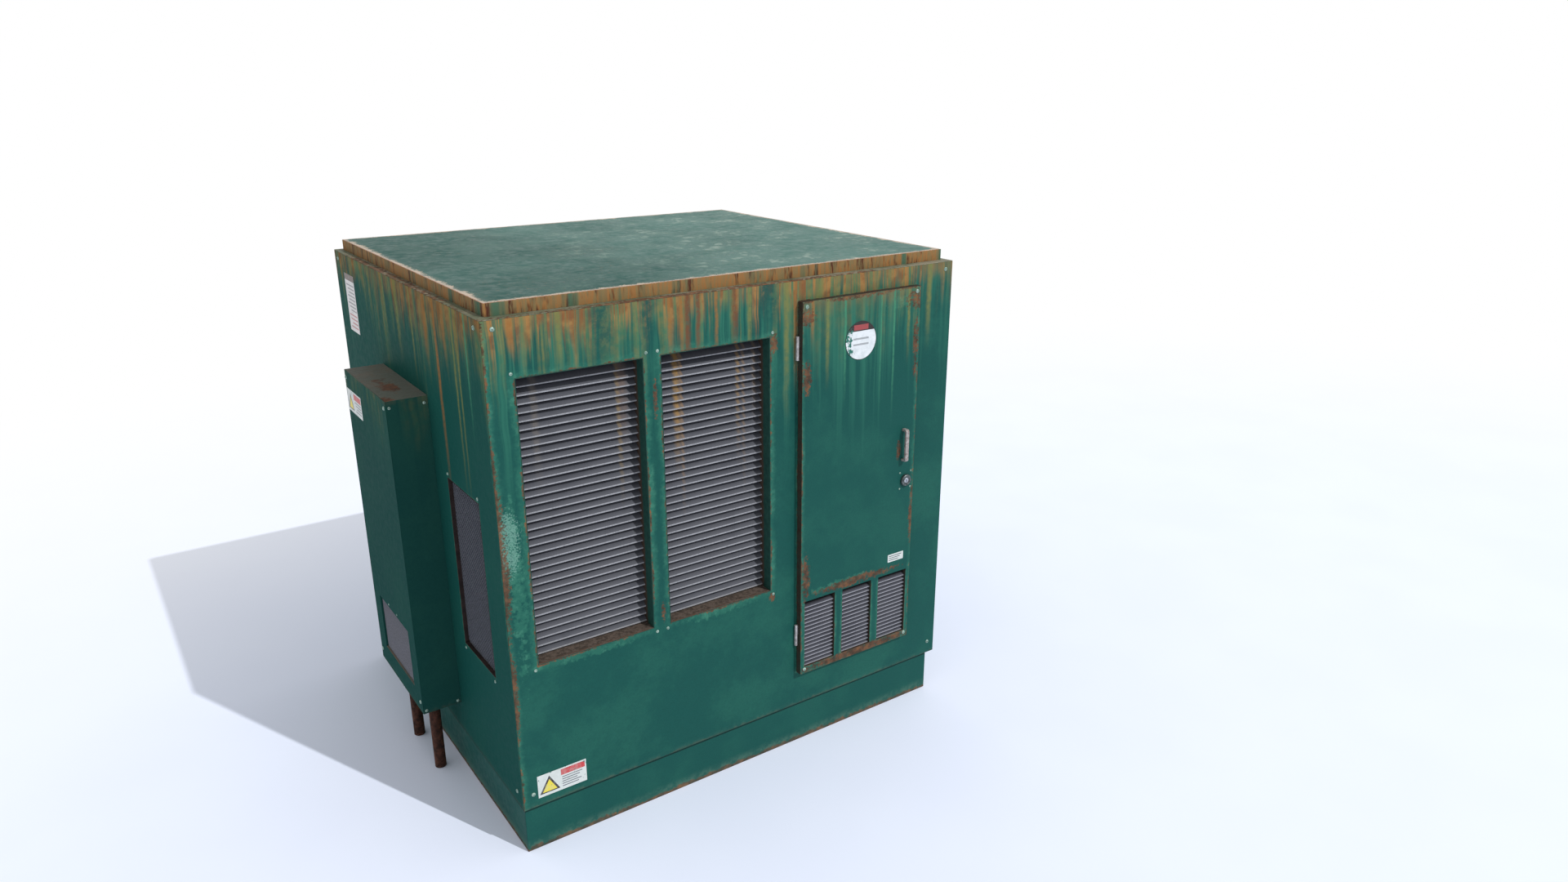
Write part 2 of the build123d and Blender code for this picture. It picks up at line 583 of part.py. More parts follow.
with BuildPart() as side_cabinet_cover:
    frame_ring(CABINET_Y, CABINET_Z, wider(GRILLE_Y, -CABINET_SHEET), wider(GRILLE_Z, -CABINET_SHEET),
               Plane.YZ.offset(CABINET_FACE), CABINET_SHEET)
    frame_ring(GRILLE_Y, GRILLE_Z, wider(GRILLE_Y, -CABINET_SHEET), wider(GRILLE_Z, -CABINET_SHEET),
               Plane.YZ.offset(CABINET_FACE), GRILLE_RECESS)
    holes(SCREW_LARGE, COVER_SCREWS, "X", CABINET_FACE, COVER_BACK)
    holes(SCREW_SMALL, GRILLE_SCREWS, "X", CABINET_FACE, COVER_BACK)
write_step(side_cabinet_cover, "side_cabinet_cover")

with BuildPart() as cabinet_grille:
    block((CABINET_FACE + GRILLE_RECESS, CABINET_FACE + GRILLE_RECESS + MESH_SHEET), GRILLE_Y, GRILLE_Z)
write_step(cabinet_grille, "cabinet_grille")

with BuildPart() as cabinet_screws:
    screws(SCREW_LARGE, COVER_SCREWS, CABINET_FACE, ("X", -1), 2 * CABINET_SHEET)
    screws(SCREW_SMALL, GRILLE_SCREWS, CABINET_FACE, ("X", -1), CABINET_SHEET)
    screws(SCREW_MEDIUM, WALL_SCREWS, CABINET_Y[0], ("Y", -1), CABINET_SHEET)
    screws(SCREW_MEDIUM, WALL_SCREWS, CABINET_Y[1], ("Y", 1), CABINET_SHEET)
write_step(cabinet_screws, "cabinet_screws")

with BuildPart() as conduits:
    for y in CONDUIT_YS:
        round_bar(CONDUIT_RADIUS, (CONDUIT_X, y), "Z", 0, CONDUIT_FREE_LENGTH)
        round_bar(CONDUIT_HUB_RADIUS, (CONDUIT_X, y), "Z", CONDUIT_FREE_LENGTH, CABINET_Z[0] + CONDUIT_STUB)
        round_bar(CONDUIT_BORE, (CONDUIT_X, y), "Z", 0, CABINET_Z[0] + CONDUIT_STUB, mode=Mode.SUBTRACT)
write_step(conduits, "conduits")

LOCKNUT_WALL = 7
LOCKNUT_THICKNESS = 7
with BuildPart() as conduit_locknuts:
    for y in CONDUIT_YS:
        for low in (CABINET_Z[0] - LOCKNUT_THICKNESS, CABINET_INSIDE_Z[0]):
            with BuildSketch(Plane.XY.offset(low)):
                with Locations((CONDUIT_X, y)):
                    RegularPolygon(CONDUIT_HUB_RADIUS + LOCKNUT_WALL, 6)
                    Circle(CONDUIT_HUB_RADIUS, mode=Mode.SUBTRACT)
            extrude(amount=LOCKNUT_THICKNESS)
write_step(conduit_locknuts, "conduit_locknuts")

BACKPLATE_STANDOFF = 16
BACKPLATE_FACE = CABINET_BACK - BACKPLATE_STANDOFF - SHEET
BACKPLATE_MARGIN = 60
BACKPLATE_BOTTOM = 500
with BuildPart() as cabinet_backplate:
    plate_y = wider(CABINET_Y, -BACKPLATE_MARGIN)
    plate_z = (CABINET_Z[0] + BACKPLATE_BOTTOM - BACKPLATE_MARGIN, CABINET_Z[1] - BACKPLATE_MARGIN)
    block((BACKPLATE_FACE, BACKPLATE_FACE + SHEET), plate_y, plate_z)
    for y in wider(plate_y, -BACKPLATE_MARGIN / 2):
        for z in wider(plate_z, -BACKPLATE_MARGIN / 2):
            round_bar(SCREW_LARGE[0], (y, z), "X", BACKPLATE_FACE, CABINET_BACK)
write_step(cabinet_backplate, "cabinet_backplate")

TERMINAL_BLOCK = (46, 120, 90)
TERMINAL_BOTTOM = 930
TERMINAL_WAYS = 3
TERMINAL_WALL = 8
with BuildPart() as terminal_blocks:
    way = (TERMINAL_BLOCK[1] - TERMINAL_WALL * (TERMINAL_WAYS + 1)) / TERMINAL_WAYS
    block_x = (BACKPLATE_FACE - TERMINAL_BLOCK[0], BACKPLATE_FACE)
    block_z = (TERMINAL_BOTTOM, TERMINAL_BOTTOM + TERMINAL_BLOCK[2])
    for centre in CONDUIT_YS:
        low = centre - TERMINAL_BLOCK[1] / 2
        block(block_x, (low, low + TERMINAL_BLOCK[1]), block_z)
        for index in range(TERMINAL_WAYS):
            way_low = low + TERMINAL_WALL + index * (way + TERMINAL_WALL)
            block((block_x[0], block_x[0] + TERMINAL_BLOCK[0] / 2), (way_low, way_low + way),
                  wider(block_z, -TERMINAL_WALL * 2), mode=Mode.SUBTRACT)
write_step(terminal_blocks, "terminal_blocks")

SUPPLY_CABLE_RADIUS = 15
SUPPLY_BEND_RADIUS = 240
SUPPLY_END_X = BACKPLATE_FACE - TERMINAL_BLOCK[0] / 2
SUPPLY_BEND_LOW, SUPPLY_BEND_HIGH = 520, 730
with BuildPart() as supply_cables:
    for y in CONDUIT_YS:
        with BuildLine() as route:
            FilletPolyline((CONDUIT_X, y, 0), (CONDUIT_X, y, SUPPLY_BEND_LOW),
                           (SUPPLY_END_X, y, SUPPLY_BEND_HIGH), (SUPPLY_END_X, y, TERMINAL_BOTTOM),
                           radius=SUPPLY_BEND_RADIUS)
        with BuildSketch(Plane(origin=(CONDUIT_X, y, 0), z_dir=(0, 0, 1))):
            Circle(SUPPLY_CABLE_RADIUS)
        sweep(path=route.line)
write_step(supply_cables, "supply_cables")

# ---- Door --------------------------------------------------------------------------------------

DOOR_LOUVRE_BOTTOM = DOOR_Z[0] + DOOR_LOUVRE_RISE
DOOR_LOUVRE_Z = (DOOR_LOUVRE_BOTTOM, DOOR_LOUVRE_BOTTOM + DOOR_LOUVRE_HEIGHT)
DOOR_LOUVRE_STEP = (DOOR_WIDTH - 2 * DOOR_LOUVRE_SIDE + DOOR_LOUVRE_GAP) / DOOR_LOUVRE_COUNT
DOOR_LOUVRE_WIDTH = DOOR_LOUVRE_STEP - DOOR_LOUVRE_GAP
DOOR_LOUVRE_LEFTS = [DOOR_X[0] + DOOR_LOUVRE_SIDE + index * DOOR_LOUVRE_STEP
                     for index in range(DOOR_LOUVRE_COUNT)]
DOOR_LOUVRE_XS = [(left, left + DOOR_LOUVRE_WIDTH) for left in DOOR_LOUVRE_LEFTS]
DOOR_PLANE = Plane.XZ.offset(-DOOR_FACE)
DOOR_SKIN_BACK = DOOR_FACE + DOOR_SHEET
DOOR_CORNERS = [(x, z) for x in wider(DOOR_X, -DOOR_SCREW_INSET) for z in wider(DOOR_Z, -DOOR_SCREW_INSET)]
LOCK_SCREWS = [(LOCK_CENTRE[0] + side * LOCK_SCREW_SPACING_X / 2, LOCK_Z + rise * LOCK_SCREW_SPACING_Z / 2)
               for side in (-1, 1) for rise in (-1, 1)]

with BuildPart() as door_skin:
    block(DOOR_X, (DOOR_FACE, DOOR_BACK), DOOR_Z)
    block(wider(DOOR_X, -DOOR_SHEET), (DOOR_SKIN_BACK, DOOR_BACK - DOOR_SHEET), wider(DOOR_Z, -DOOR_SHEET),
          mode=Mode.SUBTRACT)
    block(wider(DOOR_X, -DOOR_LIP), (DOOR_BACK - DOOR_SHEET, DOOR_BACK), wider(DOOR_Z, -DOOR_LIP),
          mode=Mode.SUBTRACT)
    for louvre_x in DOOR_LOUVRE_XS:
        lining_x, lining_z = wider(louvre_x, DOOR_SHEET / 2), wider(DOOR_LOUVRE_Z, DOOR_SHEET / 2)
        frame_ring(lining_x, lining_z, louvre_x, DOOR_LOUVRE_Z,
                   Plane.XZ.offset(-DOOR_SKIN_BACK), -(DOOR_BACK - DOOR_SHEET - DOOR_SKIN_BACK))
        block(louvre_x, (DOOR_FACE, DOOR_SKIN_BACK), DOOR_LOUVRE_Z, mode=Mode.SUBTRACT)
    round_bar(LOCK_NECK_RADIUS, LOCK_CENTRE, "Y", DOOR_FACE, DOOR_SKIN_BACK, mode=Mode.SUBTRACT)
    holes(SCREW_LARGE, DOOR_CORNERS, "Y", DOOR_FACE, DOOR_SKIN_BACK)
    holes(SCREW_SMALL, LOCK_SCREWS, "Y", DOOR_FACE, DOOR_SKIN_BACK)
write_step(door_skin, "door_skin")

STIFFENER_THICKNESS = 6
STIFFENER_MARGIN = 4
STIFFENER_HEIGHT = 20
MIDDLE_RAIL_HEIGHTS = (DOOR_LOUVRE_Z[1] + 20, LOCK_Z + 380)
with BuildPart() as door_stiffeners:
    rail_bottoms = (DOOR_CORNERS[0][1] - STIFFENER_HEIGHT / 2, *MIDDLE_RAIL_HEIGHTS,
                    DOOR_CORNERS[1][1] - STIFFENER_HEIGHT / 2)
    for bottom in rail_bottoms:
        block(wider(DOOR_X, -STIFFENER_MARGIN), (DOOR_SKIN_BACK, DOOR_SKIN_BACK + STIFFENER_THICKNESS),
              (bottom, bottom + STIFFENER_HEIGHT))
    holes(SCREW_LARGE, DOOR_CORNERS, "Y", DOOR_SKIN_BACK, DOOR_SKIN_BACK + STIFFENER_THICKNESS)
write_step(door_stiffeners, "door_stiffeners")

with BuildPart() as door_blades:
    run = DOOR_LOUVRE_HEIGHT - DOOR_BLADE_LIP - DOOR_BLADE_RISE
    bottoms = [DOOR_LOUVRE_BOTTOM + row * DOOR_BLADE_PITCH for row in range(int(run / DOOR_BLADE_PITCH) + 1)]
    for louvre_x in DOOR_LOUVRE_XS:
        blades(louvre_x, DOOR_FACE + DOOR_LOUVRE_RECESS, bottoms,
               DOOR_BLADE_DEPTH, DOOR_BLADE_RISE, DOOR_BLADE_LIP)
write_step(door_blades, "door_blades")

with BuildPart() as door_gasket:
    inner_x, inner_z = wider(DOORWAY_X, 1), wider(DOORWAY_Z, 1)
    frame_ring(wider(inner_x, GASKET_WIDTH), wider(inner_z, GASKET_WIDTH), inner_x, inner_z,
               FRONT_PLANE, DOOR_GAP - GASKET_CLEARANCE)
write_step(door_gasket, "door_gasket")

with BuildPart() as door_screws:
    screws(SCREW_LARGE, DOOR_CORNERS, DOOR_FACE, ("Y", -1), DOOR_SHEET + STIFFENER_THICKNESS)
    screws(SCREW_SMALL, LOCK_SCREWS, DOOR_FACE, ("Y", -1), DOOR_SHEET)
write_step(door_screws, "door_screws")

with BuildPart() as pull_handle:
    handle_x = DOOR_X[1] - HANDLE_FROM_EDGE
    handle_z = (HANDLE_BOTTOM, HANDLE_BOTTOM + HANDLE_LENGTH)
    bar_front = DOOR_FACE - HANDLE_STANDOFF
    block((handle_x - HANDLE_WIDTH / 2, handle_x + HANDLE_WIDTH / 2), (bar_front, DOOR_FACE), handle_z)
    fillet(pull_handle.edges().filter_by(Axis.X).group_by(Axis.Y)[0], HANDLE_THICKNESS)
    block(around(handle_x, HANDLE_WIDTH / 2), (bar_front + HANDLE_THICKNESS, DOOR_FACE),
          wider(handle_z, -HANDLE_THICKNESS), mode=Mode.SUBTRACT)
write_step(pull_handle, "pull_handle")

# ---- Hinges ------------------------------------------------------------------------------------

HINGE_HALF = HINGE_LENGTH / 2
HINGE_WASHER_GAP = 0.4
HINGE_CAP = 4
with BuildPart() as hinge_sockets:
    for middle in HINGE_HEIGHTS:
        half = (middle - HINGE_HALF, middle - HINGE_WASHER_GAP / 2)
        round_bar(HINGE_RADIUS, (HINGE_X, HINGE_Y), "Z", *half)
        block((HINGE_X - HINGE_PIN_RADIUS, HINGE_X + HINGE_PIN_RADIUS), (HINGE_Y, FRONT), half)
        round_bar(HINGE_PIN_RADIUS, (HINGE_X, HINGE_Y), "Z", *half, mode=Mode.SUBTRACT)
write_step(hinge_sockets, "hinge_sockets")

with BuildPart() as hinge_barrels:
    for middle in HINGE_HEIGHTS:
        half = (middle + HINGE_WASHER_GAP / 2, middle + HINGE_HALF)
        round_bar(HINGE_RADIUS, (HINGE_X, HINGE_Y), "Z", *half)
        block((HINGE_X, DOOR_X[0]), (HINGE_Y - HINGE_PIN_RADIUS, HINGE_Y + HINGE_PIN_RADIUS), half)
        round_bar(HINGE_PIN_RADIUS + RUNNING_CLEARANCE, (HINGE_X, HINGE_Y), "Z", half[0], half[1] - HINGE_CAP,
                  mode=Mode.SUBTRACT)
write_step(hinge_barrels, "hinge_barrels")

with BuildPart() as hinge_pins:
    for middle in HINGE_HEIGHTS:
        round_bar(HINGE_PIN_RADIUS, (HINGE_X, HINGE_Y), "Z",
                  middle - HINGE_HALF, middle + HINGE_HALF - HINGE_CAP - 1)
write_step(hinge_pins, "hinge_pins")

# ---- Lock --------------------------------------------------------------------------------------

LOCK_TIP = DOOR_FACE - LOCK_PROUD
LOCK_NECK_DEPTH = 6
LOCK_RIM = 5
CASE_HALF_WIDTH = 40
CASE_HALF_HEIGHT = 48
CASE_BASE_BACK = DOOR_BACK - DOOR_SHEET - 0.5
CASE_REACH = 22
CASE_WALL = 2
TAIL_RADIUS = 7
PITCH_RADIUS = PINION_MODULE * PINION_TEETH / 2
ADDENDUM = 0.8 * PINION_MODULE
DEDENDUM = 1.25 * PINION_MODULE
BOLT_Y = (FRONT + SHEET + BOLT_BEHIND_PANEL, FRONT + SHEET + BOLT_BEHIND_PANEL + BOLT_THICKNESS)
BOLT_Z = (LOCK_Z + PITCH_RADIUS + DEDENDUM, LOCK_Z + PITCH_RADIUS + DEDENDUM + BOLT_HEIGHT)
BOLT_TAIL = 34
CAVITY_Y = wider(BOLT_Y, 1)
CAVITY_X = (LOCK_CENTRE[0] - CASE_HALF_WIDTH + CASE_WALL, LOCK_CENTRE[0] + CASE_REACH - CASE_WALL)
CAVITY_Z = (LOCK_Z - PITCH_RADIUS - DEDENDUM, BOLT_Z[1] + 0.3)

LOCK_BEVEL = 3
CYLINDER_BEVEL = 1
KEYWAY = (3.2, 6, 12)
BOLT_PLAY = 0.3
with BuildPart() as lock_housing:
    round_bar(LOCK_RADIUS, LOCK_CENTRE, "Y", LOCK_TIP, DOOR_FACE)
    chamfer(lock_housing.edges().group_by(Axis.Y)[0], LOCK_BEVEL)
    round_bar(LOCK_NECK_RADIUS, LOCK_CENTRE, "Y", DOOR_FACE, DOOR_SKIN_BACK + LOCK_NECK_DEPTH)
    round_bar(CYLINDER_RADIUS + LOCK_RIM, LOCK_CENTRE, "Y", LOCK_TIP, LOCK_TIP + CYLINDER_RECESS,
              mode=Mode.SUBTRACT)
    round_bar(CYLINDER_RADIUS + RUNNING_CLEARANCE, LOCK_CENTRE, "Y",
              LOCK_TIP, DOOR_SKIN_BACK + LOCK_NECK_DEPTH, mode=Mode.SUBTRACT)
write_step(lock_housing, "lock_housing")

with BuildPart() as lock_case:
    block(around(LOCK_CENTRE[0], CASE_HALF_WIDTH), (DOOR_SKIN_BACK, CASE_BASE_BACK),
          around(LOCK_Z, CASE_HALF_HEIGHT))
    block((LOCK_CENTRE[0] - CASE_HALF_WIDTH, LOCK_CENTRE[0] + CASE_REACH),
          (CASE_BASE_BACK, CAVITY_Y[1] + CASE_WALL), wider(CAVITY_Z, CASE_WALL * 2))
    block(CAVITY_X, CAVITY_Y, CAVITY_Z, mode=Mode.SUBTRACT)
    block((CAVITY_X[1], CAVITY_X[1] + CASE_WALL), wider(BOLT_Y, BOLT_PLAY),
          (BOLT_Z[0] - DEDENDUM * 2, BOLT_Z[1] + BOLT_PLAY), mode=Mode.SUBTRACT)
    round_bar(LOCK_NECK_RADIUS, LOCK_CENTRE, "Y", DOOR_SKIN_BACK, DOOR_SKIN_BACK + LOCK_NECK_DEPTH,
              mode=Mode.SUBTRACT)
    round_bar(CYLINDER_RADIUS + 1, LOCK_CENTRE, "Y", DOOR_SKIN_BACK, CAVITY_Y[0], mode=Mode.SUBTRACT)
write_step(lock_case, "lock_case")


def involute(angle):
    """The involute function, which sets how an involute tooth narrows towards its tip."""
    return tan(angle) - angle


def pinion_outline():
    """Corner points of the pinion's involute teeth, with one tooth centred on +Z."""
    base_radius = PITCH_RADIUS * cos(PRESSURE_ANGLE)
    tip_radius = PITCH_RADIUS + ADDENDUM
    root_radius = PITCH_RADIUS - DEDENDUM
    half_at_pitch = pi / (2 * PINION_TEETH) - BACKLASH / (4 * PITCH_RADIUS)
    steps = 5
    flank = [(root_radius, half_at_pitch + involute(PRESSURE_ANGLE))]
    for step in range(steps + 1):
        radius = base_radius + (tip_radius - base_radius) * step / steps
        narrowing = involute(acos(min(1, base_radius / radius)))
        flank.append((radius, half_at_pitch + involute(PRESSURE_ANGLE) - narrowing))
    points = []
    for tooth in range(PINION_TEETH):
        middle = pi / 2 - 2 * pi * tooth / PINION_TEETH
        for radius, half in flank:
            points.append((radius * cos(middle + half), radius * sin(middle + half)))
        for radius, half in reversed(flank):
            points.append((radius * cos(middle - half), radius * sin(middle - half)))
    return points


def rack_tooth(centre):
    """One downward rack tooth about x = centre, measured from the pitch line."""
    half = pi * PINION_MODULE / 4 - BACKLASH / 4
    tip, root = half - ADDENDUM * tan(PRESSURE_ANGLE), half + DEDENDUM * tan(PRESSURE_ANGLE)
    return [(centre - root, DEDENDUM), (centre - tip, -ADDENDUM),
            (centre + tip, -ADDENDUM), (centre + root, DEDENDUM)]


with BuildPart() as lock_cylinder:
    round_bar(CYLINDER_RADIUS, LOCK_CENTRE, "Y", LOCK_TIP + CYLINDER_RECESS, CASE_BASE_BACK)
    chamfer(lock_cylinder.edges().group_by(Axis.Y)[0], CYLINDER_BEVEL)
    round_bar(TAIL_RADIUS, LOCK_CENTRE, "Y", CASE_BASE_BACK, BOLT_Y[0])
    block(around(LOCK_CENTRE[0], KEYWAY[0] / 2),
          (LOCK_TIP + CYLINDER_RECESS, LOCK_TIP + CYLINDER_RECESS + KEYWAY[1]),
          around(LOCK_Z, KEYWAY[2] / 2), mode=Mode.SUBTRACT)
    with BuildSketch(Plane(origin=(LOCK_CENTRE[0], BOLT_Y[0], LOCK_Z), x_dir=(1, 0, 0), z_dir=(0, -1, 0))):
        with BuildLine():
            Polyline(*pinion_outline(), close=True)
        make_face()
    extrude(amount=-BOLT_THICKNESS)
write_step(lock_cylinder, "lock_cylinder")

RACK_PITCH = pi * PINION_MODULE
RACK_LAST = 1.5
with BuildPart() as lock_bolt:
    block((LOCK_CENTRE[0] - BOLT_TAIL, LOCK_CENTRE[0] + CASE_REACH), BOLT_Y, BOLT_Z)
    rack_plane = Plane(origin=(LOCK_CENTRE[0], BOLT_Y[0], LOCK_Z + PITCH_RADIUS),
                       x_dir=(1, 0, 0), z_dir=(0, -1, 0))
    tooth_centres = [(RACK_LAST - index) * RACK_PITCH for index in range(RACK_TEETH)]
    for centre in [x for x in tooth_centres if x - RACK_PITCH / 2 > -BOLT_TAIL]:
        with BuildSketch(rack_plane):
            with BuildLine():
                Polyline(*rack_tooth(centre), close=True)
            make_face()
        extrude(amount=-BOLT_THICKNESS)
write_step(lock_bolt, "lock_bolt")

# ---- Signs -------------------------------------------------------------------------------------


with BuildPart() as front_label:
    block(span_from(LEFT + FRONT_LABEL_FROM_LEFT, FRONT_LABEL[0]), (FRONT - SIGN_SHEET, FRONT),
          span_from(PLINTH_HEIGHT + FRONT_LABEL_RISE, FRONT_LABEL[1]))
write_step(front_label, "front_label")

with BuildPart() as side_label:
    block((LEFT - SIGN_SHEET, LEFT), span_from(FRONT + SIDE_LABEL_FROM_FRONT, SIDE_LABEL[0]),
          span_from(BODY_TOP - SIDE_LABEL_BELOW_TOP, -SIDE_LABEL[1]))
write_step(side_label, "side_label")

with BuildPart() as cabinet_label:
    block((CABINET_FACE - SIGN_SHEET, CABINET_FACE),
          span_from(CABINET_Y[1] - CABINET_LABEL_FROM_BACK, -CABINET_LABEL[0]),
          span_from(CABINET_Z[1] - CABINET_LABEL_BELOW_TOP, -CABINET_LABEL[1]))
write_step(cabinet_label, "cabinet_label")

with BuildPart() as door_signs:
    sign_centre = (DOOR_X[0] + ROUND_SIGN_FROM_HINGE_EDGE, DOOR_Z[1] - ROUND_SIGN_BELOW_TOP)
    round_bar(ROUND_SIGN_RADIUS, sign_centre, "Y", DOOR_FACE - SIGN_SHEET, DOOR_FACE)
    block(span_from(DOOR_X[1] - DOOR_PLATE_FROM_EDGE, -DOOR_PLATE[0]), (DOOR_FACE - SIGN_SHEET, DOOR_FACE),
          span_from(DOOR_Z[0] + DOOR_PLATE_RISE, DOOR_PLATE[1]))
write_step(door_signs, "door_signs")

# ---- Switchgear compartment --------------------------------------------------------------------

LINK_PASS_Y = (-300, -80)
LINK_PASS_Z = (1400, 1620)
with BuildPart() as partition_wall:
    block((PARTITION_X, PARTITION_X + SHEET), wider(INSIDE_Y, -POST_LEG), (FLOOR_TOP, INNER_TOP - POST_LEG))
    block((PARTITION_X, PARTITION_X + SHEET), LINK_PASS_Y, LINK_PASS_Z, mode=Mode.SUBTRACT)
write_step(partition_wall, "partition_wall")

GEAR_PLATE_X = (PARTITION_X + SHEET, INSIDE_X[1] - POST_WALL)
GEAR_PLATE_TOP = BODY_TOP - GEAR_BELOW_TOP
BREAKER_X = (GEAR_X - BREAKER[0] / 2, GEAR_X + BREAKER[0] / 2)
BREAKER_Z = (BREAKER_BOTTOM, BREAKER_BOTTOM + BREAKER[1])
BREAKER_FACE = GEAR_Y - BREAKER[2]
PHASES = (-1, 0, 1)
LINK_LEVELS = (1440, 1500, 1560)
LINK_HALF = BUSBAR[0] / 2
with BuildPart() as gear_plate:
    block(GEAR_PLATE_X, (GEAR_Y, GEAR_Y + GEAR_SHEET), (FLOOR_TOP, GEAR_PLATE_TOP))
write_step(gear_plate, "gear_plate")

TOGGLE_DEPTH = 4
TOGGLE_SHARE_OF_HEIGHT = 0.56
TOGGLE_SIDE_GAP = 1
TOGGLE_SLOT_HEIGHT = 96
TOGGLE_LEVER = (14, 5)
TOGGLE_LEVER_INSET = 8
BREAKER_BEVEL = 6
TOGGLE_CENTRE = (BREAKER_FACE + TOGGLE_RADIUS + TOGGLE_DEPTH,
                 BREAKER_Z[0] + BREAKER[1] * TOGGLE_SHARE_OF_HEIGHT)
with BuildPart() as breaker_body:
    block(BREAKER_X, (BREAKER_FACE, GEAR_Y), BREAKER_Z)
    chamfer(breaker_body.edges().group_by(Axis.Y)[0], BREAKER_BEVEL)
    slot_x = around(GEAR_X, TOGGLE_WIDTH / 2 + TOGGLE_SIDE_GAP)
    block(slot_x, (BREAKER_FACE, TOGGLE_CENTRE[0] + TOGGLE_RADIUS + TOGGLE_SIDE_GAP),
          around(TOGGLE_CENTRE[1], TOGGLE_SLOT_HEIGHT / 2), mode=Mode.SUBTRACT)
    round_bar(TOGGLE_RADIUS / 2, TOGGLE_CENTRE, "X", slot_x[0], slot_x[0] + TOGGLE_SIDE_GAP)
    round_bar(TOGGLE_RADIUS / 2, TOGGLE_CENTRE, "X", slot_x[1] - TOGGLE_SIDE_GAP, slot_x[1])
write_step(breaker_body, "breaker_body")

with BuildPart() as breaker_toggle:
    round_bar(TOGGLE_RADIUS, TOGGLE_CENTRE, "X", GEAR_X - TOGGLE_WIDTH / 2, GEAR_X + TOGGLE_WIDTH / 2)
    tilt = radians(TOGGLE_TILT)
    lever_plane = Plane(origin=(GEAR_X - TOGGLE_WIDTH / 2 + TOGGLE_LEVER_INSET, *TOGGLE_CENTRE),
                        x_dir=(0, -cos(tilt), sin(tilt)), z_dir=(1, 0, 0))
    with BuildSketch(lever_plane):
        with Locations((TOGGLE_LENGTH / 2, 0)):
            RectangleRounded(TOGGLE_LENGTH, *TOGGLE_LEVER)
    extrude(amount=TOGGLE_WIDTH - 2 * TOGGLE_LEVER_INSET)
write_step(breaker_toggle, "breaker_toggle")

BUSBAR_FACE = BREAKER_FACE + BREAKER[2] / 2
with BuildPart() as lv_busbars:
    for phase in PHASES:
        middle = GEAR_X + phase * BUSBAR_SPACING
        bar_x = (middle - BUSBAR[0] / 2, middle + BUSBAR[0] / 2)
        bar_z = (BREAKER_Z[0] - BUSBAR_LENGTH, BREAKER_Z[0])
        block(bar_x, (BUSBAR_FACE, BUSBAR_FACE + BUSBAR[1]), bar_z)
        for row in (0, 1):
            centre = (middle, bar_z[0] + BUSBAR[0] / 2 + row * BUSBAR_HOLE_SPACING)
            round_bar(BUSBAR_HOLE_RADIUS, centre, "Y", BUSBAR_FACE, BUSBAR_FACE + BUSBAR[1],
                      mode=Mode.SUBTRACT)
write_step(lv_busbars, "lv_busbars")

INSULATOR_RADIUS = 20
INSULATOR_SHARE_OF_BAR = 0.4
with BuildPart() as busbar_insulators:
    for phase in PHASES:
        centre = (GEAR_X + phase * BUSBAR_SPACING, BREAKER_Z[0] - BUSBAR_LENGTH * INSULATOR_SHARE_OF_BAR)
        round_bar(INSULATOR_RADIUS, centre, "Y", BUSBAR_FACE + BUSBAR[1], GEAR_Y)
write_step(busbar_insulators, "busbar_insulators")

SHED_COUNT = 4
SHED_GROWTH = 12
with BuildPart() as hv_bushings:
    for phase in PHASES:
        centre = (GEAR_X + phase * BUSHING_SPACING, BUSHING_HEIGHT)
        tip = GEAR_Y - BUSHING_LENGTH
        round_bar(BUSHING_RADIUS - SHED_GROWTH, centre, "Y", tip + BUSBAR[0], GEAR_Y)
        shed_pitch = (BUSHING_LENGTH - BUSBAR[0]) / SHED_COUNT
        for shed in range(SHED_COUNT):
            low = GEAR_Y - (shed + 1) * shed_pitch + shed_pitch / 4
            round_bar(BUSHING_RADIUS, centre, "Y", low, low + shed_pitch / 2)
        round_bar(BUSHING_TIP_RADIUS, centre, "Y", tip, tip + BUSBAR[0])
write_step(hv_bushings, "hv_bushings")

EARTH_HOLE_COUNT = 6
EARTH_HOLE_PITCH = 55
EARTH_HOLE_RADIUS = 5
with BuildPart() as earth_bar:
    bar_x = (GEAR_X - EARTH_BAR[0] / 2, GEAR_X + EARTH_BAR[0] / 2)
    bar_y = (GEAR_Y - EARTH_STANDOFF - EARTH_BAR[2], GEAR_Y - EARTH_STANDOFF)
    block(bar_x, bar_y, (EARTH_BAR_HEIGHT, EARTH_BAR_HEIGHT + EARTH_BAR[1]))
    for x in wider(bar_x, -EARTH_BAR[1] / 2):
        round_bar(TAIL_RADIUS, (x, EARTH_BAR_HEIGHT + EARTH_BAR[1] / 2), "Y", bar_y[1], GEAR_Y)
    for index in range(EARTH_HOLE_COUNT):
        hole_x = GEAR_X + (index - (EARTH_HOLE_COUNT - 1) / 2) * EARTH_HOLE_PITCH
        round_bar(EARTH_HOLE_RADIUS, (hole_x, EARTH_BAR_HEIGHT + EARTH_BAR[1] / 2), "Y", *bar_y,
                  mode=Mode.SUBTRACT)
write_step(earth_bar, "earth_bar")

# ---- Transformer -------------------------------------------------------------------------------

CORE_X = LEFT + CORE_FROM_LEFT
LIMB_YS = [phase * LIMB_PITCH for phase in PHASES]
CORE_Z = (FLOOR_TOP + RAIL_HEIGHT, FLOOR_TOP + RAIL_HEIGHT + WINDOW_HEIGHT + 2 * YOKE_HEIGHT)
WINDOW_Z = wider(CORE_Z, -YOKE_HEIGHT)
CORE_Y = (LIMB_YS[0] - LIMB_WIDTH / 2, LIMB_YS[2] + LIMB_WIDTH / 2)

